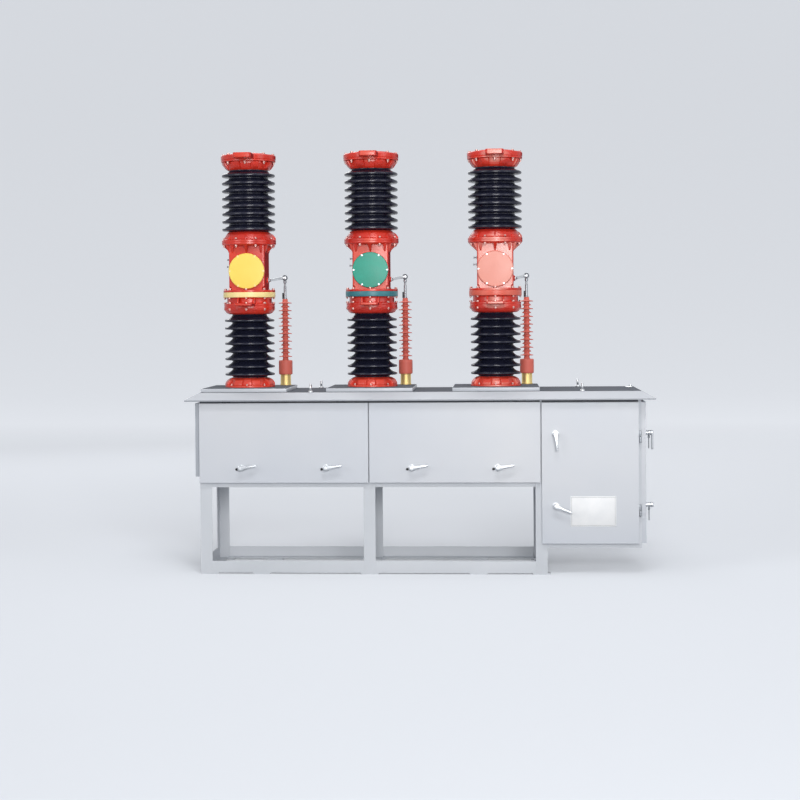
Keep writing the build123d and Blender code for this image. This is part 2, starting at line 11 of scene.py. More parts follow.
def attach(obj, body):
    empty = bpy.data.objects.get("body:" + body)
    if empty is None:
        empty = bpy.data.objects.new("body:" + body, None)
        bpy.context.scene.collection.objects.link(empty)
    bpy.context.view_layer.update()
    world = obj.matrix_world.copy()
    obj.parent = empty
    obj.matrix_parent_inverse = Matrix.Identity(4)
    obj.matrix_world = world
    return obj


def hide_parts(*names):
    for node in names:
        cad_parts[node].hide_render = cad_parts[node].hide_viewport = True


bl_info = {
    "name": "Outdoor Breaker Dressing",
    "version": (1, 0, 0),
    "blender": (4, 5, 0),
    "location": "3D View > Sidebar > Breaker",
    "description": "Builds the detailed pieces, paints and studio of an outdoor vacuum circuit breaker",
    "category": "Object",
}

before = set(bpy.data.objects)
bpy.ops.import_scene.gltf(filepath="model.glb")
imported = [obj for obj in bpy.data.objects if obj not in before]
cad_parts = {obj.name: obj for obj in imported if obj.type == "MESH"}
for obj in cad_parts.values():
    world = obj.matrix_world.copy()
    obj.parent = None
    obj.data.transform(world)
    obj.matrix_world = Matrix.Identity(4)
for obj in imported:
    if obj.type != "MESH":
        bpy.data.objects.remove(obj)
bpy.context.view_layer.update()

MM = 0.001
ROOT = "frame"
POLES = {"left": -700, "middle": 0, "right": 700}

# Heights over the ground at which the pieces of a pole begin, in millimetres
ROOF_TOP = 1006
PLATE_TOP = 1026
DRUM = 1440
RING = 1535
HOUSING = 1565
RIM = 1826
BELL = 1847.5
TOP_BELL = 2256
CAP = 2304

# Other places on a pole: the round cover, the link's two ends, and the side post's spot and top
COVER_CENTRE = 1684
COVER_SEAT = -112
BOSS = 1632
LINK = 1650
POST = (178, 230)
POST_TOP = 1527

# Box, cabinet and stand, in millimetres
FRONT = -330
COVER_BACK = -330.5
COVER_FACE = -355.5
COVER_FOOT = 508
COVER_TOP = 948
END_COVER_FOOT = 541
COVER_SPANS = {"left": (-940, -3), "right": (3, 940)}
DOOR_SPAN = (947.5, 1474)
DOOR_FOOT = 173
DOOR_TOP = 945.5
SIDE_BACK = 1490.5
SIDE_FACE = 1515.5
STAND_TOP = 1003
CABINET_FOOT = 148
ANGLE_LEG = 65
ANGLE_T = 6
HINGE_INSET = 150
COVER_HANDLES = 590
HANDLE_HEIGHTS = {"upper": 774, "lower": 379}
HANDLE_REACH = 92

# Angles of eight bolts around a flange from the front, and of eight ribs between them
EIGHTHS = [k * math.pi / 4 for k in range(8)]
BETWEEN = [(k + 0.5) * math.pi / 4 for k in range(8)]
UPRIGHT = Matrix.Rotation(-math.pi / 2, 4, "X")
# Where local X runs on a place whose local Y looks up and whose local Z looks to that side
WAYS = {"front": (1, 0, 0), "right": (0, 1, 0), "rear": (-1, 0, 0), "left": (0, -1, 0)}


def linear(code):
    """Turns an sRGB hex colour into the linear values a shader works in."""
    parts = [int(code[i : i + 2], 16) / 255 for i in (1, 3, 5)]
    return [c / 12.92 if c <= 0.04045 else ((c + 0.055) / 1.055) ** 2.4 for c in parts]


def rgba(colour):
    """A hex colour, or a linear one from the sidebar, as a colour socket takes it."""
    return [*(linear(colour) if isinstance(colour, str) else colour), 1]


def object_mode():
    if bpy.context.object and bpy.context.object.mode != "OBJECT":
        bpy.ops.object.mode_set(mode="OBJECT")


def deselect_all():
    object_mode()
    bpy.ops.object.select_all(action="DESELECT")


def make_active(obj):
    deselect_all()
    obj.select_set(True)
    bpy.context.view_layer.objects.active = obj


def take_name(name):
    obj = bpy.context.object
    obj.name = obj.data.name = name
    return obj


def settle(obj, place=None):
    """Moves the object to a place, if one is given, and takes its place into its mesh."""
    if place is not None:
        obj.matrix_world = place
    make_active(obj)
    bpy.ops.object.transform_apply(location=True, rotation=True, scale=True)
    return obj


def smooth(obj, angle=32):
    make_active(obj)
    bpy.ops.object.shade_smooth_by_angle(angle=math.radians(angle))
    return obj


def applied(obj, kind, **settings):
    """Shapes a piece with a modifier and applies it."""
    make_active(obj)
    modifier = obj.modifiers.new("shape", kind)
    for key, value in settings.items():
        setattr(modifier, key, value)
    bpy.ops.object.modifier_apply(modifier=modifier.name)
    return obj


def bevelled(obj, width, segments=2, angle=40):
    """Rounds the edges sharper than the angle by a width in millimetres."""
    return applied(
        obj, "BEVEL", width=width * MM, segments=segments, limit_method="ANGLE",
        angle_limit=math.radians(angle), use_clamp_overlap=True,
    )


def pick(obj, kind, wanted):
    """Goes into edit mode with only the wanted corners, edges or faces selected."""
    make_active(obj)
    bpy.ops.object.mode_set(mode="EDIT")
    bpy.ops.mesh.select_mode(type=kind)
    bpy.ops.mesh.select_all(action="DESELECT")
    object_mode()
    parts = {"VERT": obj.data.vertices, "EDGE": obj.data.edges, "FACE": obj.data.polygons}[kind]
    for part in parts:
        part.select = wanted(part)
    bpy.ops.object.mode_set(mode="EDIT")


def leave_edit():
    """Goes back to object mode, with corners as what the next edit selects."""
    bpy.ops.mesh.select_mode(type="VERT")
    object_mode()


def rounded(corners, steps=3):
    """Rounds the corners of an outline of (u, v, radius) points with short arcs."""
    points = []
    last = len(corners) - 1
    for i, (u, v, radius) in enumerate(corners):
        if radius == 0 or i in (0, last):
            points.append((u, v))
            continue
        here = Vector((u, v))
        back = Vector(corners[i - 1][:2]) - here
        on = Vector(corners[i + 1][:2]) - here
        half = back.angle(on) / 2
        reach = min(radius / math.tan(half), back.length * 0.49, on.length * 0.49)
        start, end = here + back.normalized() * reach, here + on.normalized() * reach
        for k in range(steps + 1):
            t = k / steps
            points.append(tuple(start * (1 - t) ** 2 + here * 2 * t * (1 - t) + end * t**2))
    return points


def drawn(points):
    """Starts a mesh as one point and draws a line from point to point in the XZ plane."""
    deselect_all()
    bpy.ops.mesh.primitive_plane_add(size=MM)
    obj = bpy.context.object
    bpy.ops.object.mode_set(mode="EDIT")
    bpy.ops.mesh.merge(type="CENTER")
    u0, v0 = points[0]
    bpy.ops.transform.translate(value=(u0 * MM, 0, v0 * MM))
    for (u1, v1), (u2, v2) in zip(points, points[1:]):
        step = ((u2 - u1) * MM, 0, (v2 - v1) * MM)
        bpy.ops.mesh.extrude_vertices_move(TRANSFORM_OT_translate={"value": step})
    bpy.ops.mesh.select_all(action="SELECT")
    return obj


def turned(points, steps=None):
    """Turns a half outline of (radius, height) points about the Z axis, as on a lathe."""
    obj = drawn(points)
    steps = steps or bpy.context.scene.breaker_sizes.turn_steps
    bpy.ops.mesh.spin(steps=steps, angle=2 * math.pi, center=(0, 0, 0), axis=(0, 0, 1))
    bpy.ops.mesh.select_all(action="SELECT")
    bpy.ops.mesh.remove_doubles(threshold=0.00002)
    bpy.ops.mesh.normals_make_consistent(inside=False)
    object_mode()
    return smooth(obj)


def lathe(corners, arc=4, steps=None, base=0):
    """Turns an outline of (radius, height over the base, rounding) corners. Unless it is a ring,
    it is closed flat to the axis at an end that isn't on it."""
    points = [(radius, base + z, rounding) for radius, z, rounding in corners]
    if points[0] != points[-1]:
        if points[0][0]:
            points.insert(0, (0, points[0][1], 0))
        if points[-1][0]:
            points.append((0, points[-1][1], 0))
    return turned(rounded(points, arc), steps)


def loop(major, minor, steps=48):
    """Ring of round section about the Z axis."""
    turns = [k * math.pi / 8 for k in range(17)]
    return turned([(major + minor * math.cos(t), minor * math.sin(t)) for t in turns], steps)


def cut_plate(outline, thickness, place, edge=0.8, segments=2):
    """Fills a closed outline, gives it a thickness and puts its local X, Y and Z where place says."""
    obj = drawn(outline)
    bpy.ops.mesh.edge_face_add()
    bpy.ops.mesh.extrude_region_move(TRANSFORM_OT_translate={"value": (0, -thickness * MM, 0)})
    bpy.ops.mesh.select_all(action="SELECT")
    bpy.ops.mesh.normals_make_consistent(inside=False)
    object_mode()
    settle(obj, place @ UPRIGHT)
    if edge:
        bevelled(obj, edge, segments)
    return smooth(obj)


def block(low, high, edge=1.0, segments=2):
    """A block between two corners in millimetres, with its edges rounded."""
    deselect_all()
    centre = [(a + b) / 2 * MM for a, b in zip(low, high)]
    size = [(b - a) * MM for a, b in zip(low, high)]
    bpy.ops.mesh.primitive_cube_add(size=1, location=centre, scale=size)
    obj = settle(bpy.context.object)
    if edge:
        bevelled(obj, edge, segments)
    return smooth(obj)


def at(x, y, z=0):
    """An unturned place, in millimetres."""
    return Matrix.Translation((x * MM, y * MM, z * MM))


def axes_to(origin, x_to, y_to):
    """A place whose local X and Y run as told, at an origin in millimetres."""
    x_to, y_to = Vector(x_to).normalized(), Vector(y_to).normalized()
    turn = Matrix((x_to, y_to, x_to.cross(y_to))).transposed().to_4x4()
    return Matrix.Translation(Vector(origin) * MM) @ turn


def facing(way, *origin):
    """A place whose local Z looks to one side of the breaker and whose local Y looks up."""
    return axes_to(origin, WAYS[way], (0, 0, 1))


def circle(radius, height, angles=EIGHTHS, hung=False):
    """Places around a flange. Angle 0 is the front and turns towards +X, and what is hung stands
    on the flange's underside."""
    places = []
    for angle in angles:
        spot = Vector((radius * math.sin(angle), -radius * math.cos(angle), height))
        turn = Matrix.Rotation(angle, 4, "Z") @ Matrix.Rotation(math.pi if hung else 0, 4, "X")
        places.append(Matrix.Translation(spot * MM) @ turn)
    return places


def twin(obj, place):
    """A copy with a mesh of its own, moved by place."""
    copy = obj.copy()
    copy.data = obj.data.copy()
    bpy.context.collection.objects.link(copy)
    return settle(copy, place @ obj.matrix_world)


def joined(pieces):
    """Joins loose shapes into one."""
    deselect_all()
    for piece in pieces:
        piece.select_set(True)
    bpy.context.view_layer.objects.active = pieces[0]
    if len(pieces) > 1:
        bpy.ops.object.join()
    return pieces[0]


def remove(*objects):
    for obj in objects:
        mesh = obj.data
        bpy.data.objects.remove(obj)
        bpy.data.meshes.remove(mesh)


def repeated(master, places):
    """Copies a shape to each place, joins the copies and deletes the first one."""
    copies = [twin(master, place) for place in places]
    remove(master)
    return joined(copies)


def carved(obj, cutter):
    """Cuts one shape out of another and deletes the cutter."""
    applied(obj, "BOOLEAN", operation="DIFFERENCE", solver="EXACT", object=cutter)
    remove(cutter)
    return smooth(obj)


FINISH = {}
# Where in a noise's range a finish starts and ends its way from one tint or gloss to another
MID = (0.3, 0.7)


def painted(obj, finish):
    """Gives the whole piece one of the finishes."""
    obj.data.materials.clear()
    obj.data.materials.append(FINISH[finish])
    return obj


def fitted(name, shapes, body, slot, *nodes):
    """Joins shapes into a named piece that rides on its body, in place of the nodes it stands for."""
    obj = joined(shapes)
    obj.name = obj.data.name = name
    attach(obj, body)
    if nodes:
        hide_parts(*nodes)


def on_each_pole(name, shapes, slot, *nodes):
    """Joins shapes made at X = 0 and copies them to the three poles, as a piece each. A casting
    takes its pole's lit copy of the enamel, with that pole's painted reflection."""
    master = joined(shapes)
    for side, x in POLES.items():
        piece = twin(master, at(x, 0))
        if slot == "red_casting":
            painted(piece, side + "_casting")
        fitted(f"{side}_{name}", [piece], ROOT, slot, *nodes)
    remove(master)


def add_node(tree, kind, values=None):
    """Adds a shader node. A value is a setting of the node, what one of its inputs holds, or the
    output of another node, which is then joined to that input."""
    node = tree.nodes.new(kind)
    for key, value in (values or {}).items():
        if isinstance(value, bpy.types.NodeSocket):
            tree.links.new(value, node.inputs[key])
        elif isinstance(key, str) and hasattr(node, key):
            setattr(node, key, value)
        else:
            node.inputs[key].default_value = value
    return node


def new_material(name):
    material = bpy.data.materials.new(name)
    material.use_nodes = True
    material.node_tree.nodes.clear()
    return material, material.node_tree


def lay_film(tree, surface, clouds, where, colour, axis, start, full, weight, kind="shiny"):
    """Lays a film's colour over a surface, by the way a face points (Normal) or by its spot on the
    breaker in metres (Object), from where it starts to where it is full. A dull film, which here is
    painted shade, also takes away the shine, and a patchy film comes and goes with the clouds."""
    source = add_node(tree, "ShaderNodeNewGeometry" if where == "Normal" else "ShaderNodeTexCoord")
    split = add_node(tree, "ShaderNodeSeparateXYZ", {"Vector": source.outputs[where]})
    reach = {"From Min": start, "From Max": full, "To Max": weight, "Value": split.outputs[axis]}
    cover = add_node(tree, "ShaderNodeMapRange", reach).outputs["Result"]
    if kind == "patchy":
        both = {"operation": "MULTIPLY", 0: cover, 1: clouds}
        cover = add_node(tree, "ShaderNodeMath", both).outputs["Value"]
    tint = {"data_type": "RGBA", 0: cover, 6: surface["Base Color"], 7: rgba(colour)}
    surface["Base Color"] = add_node(tree, "ShaderNodeMix", tint).outputs[2]
    if kind == "dull":
        painted_shade = {"data_type": "FLOAT", 0: cover, 2: surface["Roughness"], 3: 0.95}
        surface["Roughness"] = add_node(tree, "ShaderNodeMix", painted_shade).outputs[0]
        shine = add_node(tree, "ShaderNodeMapRange", {"To Min": 0.5, "To Max": 0.0, "Value": cover})
        surface["Specular IOR Level"] = shine.outputs["Result"]


def add_finish(key, name, colour, rough, clouds, skin, worn=None, films=(), **shader):
    """Makes a procedural surface on Object coordinates. Its noises are given by grain size in
    millimetres and detail: clouds shift the gloss between two roughnesses, the skin is raised by a
    strength and a depth in metres, and a worn tint drifts through the colour."""
    material, tree = new_material(name)
    place = add_node(tree, "ShaderNodeTexCoord").outputs["Object"]
    grain = {"clouds": clouds, "skin": skin[:2]}
    if worn:
        grain["drift"] = worn[1:]
    noise = {}
    for use, (size, detail) in grain.items():
        pattern = {"Scale": 1 / (size * MM), "Detail": detail, "Vector": place}
        noise[use] = add_node(tree, "ShaderNodeTexNoise", pattern).outputs["Fac"]
    surface = {"Base Color": rgba(colour), **shader}
    if worn:
        ramp = add_node(tree, "ShaderNodeValToRGB", {"Fac": noise["drift"]})
        for stop, spot, tint in zip(ramp.color_ramp.elements, MID, (worn[0], colour)):
            stop.position = spot
            stop.color = rgba(tint)
        surface["Base Color"] = ramp.outputs["Color"]
    gloss = {"From Min": MID[0], "From Max": MID[1], "To Min": rough[0], "To Max": rough[1]}
    gloss = add_node(tree, "ShaderNodeMapRange", {**gloss, "Value": noise["clouds"]})
    surface["Roughness"] = gloss.outputs["Result"]
    bump = {"Strength": skin[2], "Distance": skin[3], "Height": noise["skin"]}
    surface["Normal"] = add_node(tree, "ShaderNodeBump", bump).outputs["Normal"]
    for film in films:
        lay_film(tree, surface, noise["clouds"], *film)
    bsdf = add_node(tree, "ShaderNodeBsdfPrincipled", surface)
    add_node(tree, "ShaderNodeOutputMaterial", {"Surface": bsdf.outputs["BSDF"]})
    FINISH[key] = material


def coated(key, name, colour, worn, rough, peel_mm, peel, patch_mm, *films):
    """Paint on metal. Its colour drifts to a second one over broad patches, as a sprayed film
    does, and a fine orange peel breaks up its highlights, drawn coarser than real so that it
    shows. Films are further colours on it: painted shade, painted reflection and painted highlight."""
    skin = (peel_mm, 2.0, peel, 0.0006)
    add_finish(key, name, colour, rough, (60, 5.0), skin, (worn, patch_mm, 3.0), films)


def bare_metal(key, name, colour, rough, grain_mm, raised, tone):
    """Plated metal. The plating's grain darkens it by a tone and raises it a little."""
    worn = [c * tone for c in linear(colour)]
    skin = (grain_mm, 3.0, raised, 0.0003)
    add_finish(key, name, colour, rough, (30, 4.0), skin, (worn, grain_mm, 3.0), Metallic=1.0)


def moulded(key, name, colour, dust_colour, dust, rough, speck_mm, ior):
    """Moulded silicone or rubber. Faces that look up carry a thin, patchy film of dust."""
    film = ("Normal", dust_colour, "Z", 0.5, 1.0, dust, "patchy")
    add_finish(key, name, colour, rough, (45, 5.0), (speck_mm, 2.0, 0.04, 0.0004), None, [film], IOR=ior)


def seen_ray(tree):
    """1 for rays from the camera and off or through shiny surfaces, 0 for rays that only light."""
    path = add_node(tree, "ShaderNodeLightPath")
    seen = path.outputs["Is Camera Ray"]
    for ray in ("Is Glossy Ray", "Is Transmission Ray"):
        either = {"operation": "MAXIMUM", 0: seen, 1: path.outputs[ray]}
        seen = add_node(tree, "ShaderNodeMath", either).outputs["Value"]
    return seen


def studio_paper(key, name, colour, lit):
    """Pale studio paper. Light bounces off it as off a mid grey, and the camera, glass and
    polished metal see it paler, more so on the wall, so that it keeps the shadow on the floor."""
    material, tree = new_material(name)
    place = add_node(tree, "ShaderNodeTexCoord").outputs["Object"]
    split = add_node(tree, "ShaderNodeSeparateXYZ", {"Vector": place})
    aside = add_node(tree, "ShaderNodeMath", {"operation": "ABSOLUTE", 0: split.outputs["X"]})
    # Towards the wall, towards the camera's lamp, which lights the floor there as well, and aside
    ramps = (
        (split.outputs["Y"], -6, 14, 0.7), (split.outputs["Y"], -7, -12, 0.3), (aside.outputs[0], 6, 14, 0.7),
    )
    glow = None
    for source, near, far, most in ramps:
        reach = {"From Min": near, "From Max": far, "To Min": 0.1, "To Max": most, "Value": source}
        rise = add_node(tree, "ShaderNodeMapRange", reach).outputs["Result"]
        higher = {"operation": "MAXIMUM", 0: glow or rise, 1: rise}
        glow = add_node(tree, "ShaderNodeMath", higher).outputs["Value"]
    dim = add_node(tree, "ShaderNodeBsdfDiffuse", {"Color": rgba(lit), "Roughness": 1.0}).outputs["BSDF"]
    pale = add_node(tree, "ShaderNodeEmission", {"Color": rgba(colour), "Strength": glow}).outputs[0]
    both = add_node(tree, "ShaderNodeAddShader", {0: dim, 1: pale}).outputs["Shader"]
    mix = add_node(tree, "ShaderNodeMixShader", {0: seen_ray(tree), 1: dim, 2: both})
    add_node(tree, "ShaderNodeOutputMaterial", {"Surface": mix.outputs["Shader"]})
    FINISH[key] = material


class BreakerColours(bpy.types.PropertyGroup):
    """Colours of the poles and the sheet metal."""

    casting: FloatVectorProperty(
        name="Castings", description="Deep red enamel of the castings", subtype="COLOR",
        default=linear("#E03824"), size=3, min=0, max=1,
    )
    sheet: FloatVectorProperty(
        name="Sheet metal", description="Light grey powder coat of covers and doors", subtype="COLOR",
        default=linear("#D6D7DA"), size=3, min=0, max=1,
    )


class BreakerSizes(bpy.types.PropertyGroup):
    """Sizes that a user would change."""

    turn_steps: IntProperty(
        name="Lathe steps", description="Faces around each turned shape", default=96, min=24, max=192,
    )
    sheet_edge: FloatProperty(
        name="Folded edge", description="Outside radius of the folded sheet", default=0.0025, min=0.0005,
        max=0.01, unit="LENGTH",
    )


class BREAKER_OT_finishes(bpy.types.Operator):
    """Makes the paints, metals and mouldings, and gives the frame's own nodes theirs."""

    bl_idname = "breaker.finishes"
    bl_label = "Finishes"

    def execute(self, context):
        colours = context.scene.breaker_colours
        # Polyester powder on folded steel: even and semi-gloss. Low down it is painted bluer and darker,
        # a painted cool shade near the ground
        painted_low_shade = ("Object", "#B4BCC8", "Z", 0.62, 0.2, 0.45)
        powder = (colours.sheet, "#CBCFD6", (0.3, 0.4), 4, 0.05, 900, painted_low_shade)
        coated("sheet", "powder_coated_sheet", *powder)
        # The end cover's front edge, which lies back under the eave, is painted darker: a painted shadow of
        # the eave
        painted_shade = ("Normal", "#A6ABB2", "Y", -0.9, -0.99, 0.9)
        coated("shaded_end_sheet", "shade_edged_sheet", *powder, painted_shade)
        # The same powder on welded angle, duller where dust has settled
        coated("angle", "powder_coated_angle", "#D0D3D8", "#C6CACF", (0.42, 0.56), 5, 0.08, 500)
        # The roof's flat tops, and those of the pole plates, are painted darker and dull, a painted shade on
        # faces that look up; its slopes are not. The eave's narrow front edge is painted darker too, a
        # painted shade
        painted_top_shade = ("Normal", "#70747B", "Z", 0.93, 0.985, 0.96, "dull")
        painted_edge_shade = ("Normal", "#84888F", "Y", -0.96, -0.995, 0.85)
        shaded_roof_paint = ("#CACDD3", "#C2C6CC", (0.28, 0.4), 5, 0.05, 600, painted_top_shade)
        coated("roof", "top_shaded_roof_coat", *shaded_roof_paint)
        coated("eaves", "edge_shaded_eave_coat", *shaded_roof_paint, painted_edge_shade)

        # Thick wet-sprayed enamel over cast aluminium, whose skin shows as gentle waves. Flat faces
        # that look to the front carry a painted reflection, paler from the left pole to the right, so each
        # pole gets its own lit copy of the enamel. Their right sides are painted dark and dull, a painted
        # shade, and the base bells by the roof are painted paler, a painted highlight
        # Painted shade: faces that look to +X are darker and duller
        painted_side_shade = ("Normal", "#8E1D24", "X", 0.9, 0.99, 0.8, "dull")
        # Painted highlight: the base bells below 1.11 m are drawn paler
        painted_base_highlight = ("Object", "#F0604A", "Z", 1.11, 1.07, 0.3)
        painted_front_sheens = {
            "left": ("#D8452F", "Y", -0.96, -0.995, 0.5),
            "middle": ("#E4614C", "Y", -0.96, -0.995, 0.7),
            "right": ("#EE9A8A", "Y", -0.86, -0.995, 0.85),
        }
        enamel = (colours.casting, "#C02B23", (0.2, 0.3), 7, 0.08, 150)
        for side, front_sheen in painted_front_sheens.items():
            films = (("Normal", *front_sheen), painted_base_highlight, painted_side_shade)
            coated(side + "_casting", side + "_casting_enamel", *enamel, *films)
        # Brushed phase enamels: softer gloss, with a stronger peel than the sprayed ones. The pale yellow of
        # the left ring and cover screws is a painted highlight on the yellow
        phases = {
            "yellow": ("yellow_phase_enamel", "#FCDF66", "#F7D85A"),
            "pale_yellow": ("highlight_painted_yellow_ring_enamel", "#FFEAA6", "#FCE396"),
            "green": ("green_phase_enamel", "#20A087", "#1B927A"),
            "teal": ("teal_phase_enamel", "#3A8089", "#2E747E"),
            # The right pole's red phase enamel is drawn salmon on its cover and coral on its ring, a painted
            # reflection
            "salmon": ("reflection_painted_red_phase_enamel", "#E79785", "#E18B79"),
            "coral": ("reflection_painted_red_ring_enamel", "#E06B58", "#D85E4C"),
        }
        for key, names in phases.items():
            coated(key, *names, (0.3, 0.4), 6, 0.12, 120)
        # Lacquered aluminium sheet of the nameplate: matt, a shade paler than the door
        coated("plate", "lacquered_aluminium", "#F2F2F2", "#EAEBEC", (0.36, 0.46), 3, 0.03, 60)
        # Printed border ink, which also paints the shadow line in the gap over the covers and the door: flat
        # and even
        coated("dark", "grey_border_ink", "#5A5D62", "#4C4F54", (0.5, 0.6), 5, 0.05, 420)

        # Moulded silicone: near-black navy sheds with a wet-looking shine, and matt brick-red posts
        moulded("sheds", "navy_silicone_rubber", "#18192B", "#6A7086", 0.1, (0.2, 0.3), 1.6, 1.47)
        moulded("post", "brick_red_silicone", "#E07264", "#E89A90", 0.5, (0.45, 0.6), 1.6, 1.41)
        # Black rubber plugs and clips: matt, grey with dust on top
        moulded("rubber", "black_rubber", "#17181A", "#4A4C50", 0.3, (0.5, 0.65), 1.2, 1.5)

        # Plated metals, from a soft gold shine to a dull grey one. The castings' bolts caught a
        # mist of red when the poles were sprayed
        metals = {
            "gold": ("yellow_chromated_zinc", "#FCE39E", (0.5, 0.6), 6, 0.03, 0.94),
            "chrome": ("satin_chrome", "#D9DCDF", (0.25, 0.35), 4, 0.02, 0.94),
            "zinc": ("bright_zinc_plate", "#E2E4E6", (0.3, 0.42), 3, 0.06, 0.9),
            "misted": ("red_misted_zinc", "#DDB0A8", (0.32, 0.44), 3, 0.06, 0.9),
            "steel": ("dull_galvanised_steel", "#A4A8AD", (0.34, 0.46), 5, 0.08, 0.86),
            "blackened": ("blackened_steel", "#55585D", (0.42, 0.54), 4, 0.05, 0.85),
        }
        for key, metal in metals.items():
            bare_metal(key, *metal)
        own = {
            "pole_beams": "angle", "box_floor": "angle", "cabinet_panels": "sheet",
            "foot_pads": "angle", "pole_plates": "roof",
        }
        for node, finish in own.items():
            painted(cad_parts[node], finish)
        return {"FINISHED"}


def bolt_head(width, height):
    """Hexagon head on a washer, standing up along Z from a flange at height 0."""
    rim, thick = width * 0.62, 2
    washer = lathe([(rim, 0, 0.4), (rim, thick, 0.6)], 2, 24)
    reach = width / math.sqrt(3)
    hexagon = [(reach * math.cos(k * math.pi / 3), reach * math.sin(k * math.pi / 3)) for k in range(6)]
    head = cut_plate(hexagon, height, at(0, 0, thick), 1.3)
    return painted(joined([washer, head]), "misted")


def nut_on_stud(width, height, stud):
    """Nut with its washer and the end of its stud, standing up along Z."""
    r, top = width * 0.3, 2 + height + stud
    tip = lathe([(r, height, 0), (r, top - 1.5, 0.3), (r - 1.5, top, 0.3)], 2, 16)
    return painted(joined([bolt_head(width, height), tip]), "misted")


# Outlines of one shed as (radius, height over its tip), with the insulator's foot and head and
# the height of its lowest tip
INSULATORS = {
    "lower": ((
        (98, -15), (99.5, -12), (103, -9.8), (113, -8), (132, -6.9), (138, -6), (140.3, -4.6), (141, -3),
        (141, 3), (140.2, 4.8), (137.2, 6.4), (127.4, 9.2), (121, 11.6), (114, 15), (108, 19), (103.5, 23),
        (100.6, 26), (99, 28.4),
    ), PLATE_TOP + 55, DRUM, 1099),
    "upper": ((
        (112, -13.4), (113.5, -11), (117, -9.8), (125, -9.2), (141, -8.6), (146.5, -7.4), (149.6, -5.4),
        (150.8, -3.6), (151, -2), (151, 2.4), (150.5, 4.8), (148.6, 7), (144, 9.6), (136, 12.8),
        (125, 16.6), (117, 20.2), (113.4, 24), (112, 27),
    ), BELL + 60.5, TOP_BELL, 1921),
}
SHEDS = 8
SHED_PITCH = 43.6


class BREAKER_OT_insulators(bpy.types.Operator):
    """Turns the shed insulators below and above each housing."""

    bl_idname = "breaker.insulators"
    bl_label = "Insulators"

    def execute(self, context):
        for name, (shed, bottom, top, first_tip) in INSULATORS.items():
            core = shed[0][0]
            points = [(0, bottom), (core, bottom)]
            for index in range(SHEDS):
                tip = first_tip + index * SHED_PITCH
                points += [(radius, tip + rise) for radius, rise in shed if tip + rise > points[-1][1]]
            column = painted(turned([*points, (core, top), (0, top)]), "sheds")
            on_each_pole(f"{name}_sheds", [column], "dark_insulator", f"{name}_insulators")
        return {"FINISHED"}


def radial_ribs(outline, thickness, angles, base, edge, segments=2):
    """Ribs cut to an outline of (radius, height over the base), at angles from the front."""
    ribs = []
    for angle in angles:
        out = Vector((math.sin(angle), -math.cos(angle), 0))
        foot = -out.cross(Vector((0, 0, 1))) * thickness / 2 + Vector((0, 0, base))
        ribs.append(cut_plate(outline, thickness, axes_to(foot, out, (0, 0, 1)), edge, segments))
    return ribs


def drilled_pad(corner, low, thickness, edge):
    """Terminal pad reaching out to the front from a pole's axis, with its four bolt holes."""
    half, reach = 50, 280
    outline = [
        (-half, 0), (half, 0), (half, reach - corner), (half - corner, reach), (corner - half, reach),
        (-half, reach - corner),
    ]
    pad = cut_plate(outline, thickness, axes_to((0, 0, low), (-1, 0, 0), (0, -1, 0)), edge, 3)
    bore = lathe([
        (11, -4, 0), (7, 0, 0), (7, 1, 0), (7, thickness - 1, 0), (7, thickness, 0), (11, thickness + 4, 0),
    ], 3, 32, low)
    return carved(pad, repeated(bore, [at(x, y) for x in (-25, 25) for y in (-252, -202)]))


class BREAKER_OT_base_flanges(bpy.types.Operator):
    """Cast bell flanges at the foot of each pole, with ribs, studs and nuts."""

    bl_idname = "breaker.base_flanges"
    bl_label = "Base Flanges"

    def execute(self, context):
        bell = lathe([
            (142, 0, 1.5), (142, 10, 3), (121, 11, 4), (119, 28, 10), (113, 47, 8), (102, 54.5, 3),
            (97, 55, 0),
        ], base=PLATE_TOP)
        rib = [(92, 7, 0), (141, 7, 0), (141, 22, 12), (129, 41, 14), (108, 52.5, 10), (92, 54, 0)]
        shapes = [bell, *radial_ribs(rounded(rib, 4), 50, BETWEEN, PLATE_TOP, 4.5, 4)]
        on_each_pole("base_bell", shapes, "red_casting", "base_flanges")
        nuts = repeated(nut_on_stud(12, 6, 4), circle(131, PLATE_TOP + 10))
        on_each_pole("base_nuts", [nuts], "bright_steel")
        return {"FINISHED"}


class BREAKER_OT_lower_terminals(bpy.types.Operator):
    """Cast bells, flanges and drums with the lower terminal pads, gussets and bolts."""

    bl_idname = "breaker.lower_terminals"
    bl_label = "Lower Terminals"

    def execute(self, context):
        drum = lathe([
            (104, 0, 0), (119, 0.5, 3), (132, 8, 14), (142, 24, 14), (144, 34, 3), (144, 45, 1.2),
            (142.6, 47, 0.8), (144, 49, 1.2), (144, 60, 3), (128, 61, 6), (127, 88, 6), (133, 95, 1.5),
        ], base=DRUM)
        skirt = [(110, 12), (133, 12), (145.5, 28), (145.5, 34), (110, 34)]
        shapes = [drum, drilled_pad(8, DRUM + 48, 12, 1.6), *radial_ribs(skirt, 16, BETWEEN, DRUM, 2.5)]
        gusset = [(100, 0), (160, 0), (160, 12), (137, 34), (100, 34)]
        for x in (-41, 50):
            shapes.append(cut_plate(gusset, 9, facing("left", x, 0, DRUM + 59), 1.5))
        on_each_pole("terminal_drum", shapes, "red_casting", "lower_terminals")
        bolts = [
            repeated(bolt_head(16, 7), circle(139, DRUM + 60)),
            repeated(nut_on_stud(16, 8, 4), circle(138.5, DRUM + 34, hung=True)),
            repeated(nut_on_stud(12, 6, 3), circle(140.5, RING, hung=True)),
        ]
        on_each_pole("flange_bolts", bolts, "bright_steel")
        return {"FINISHED"}


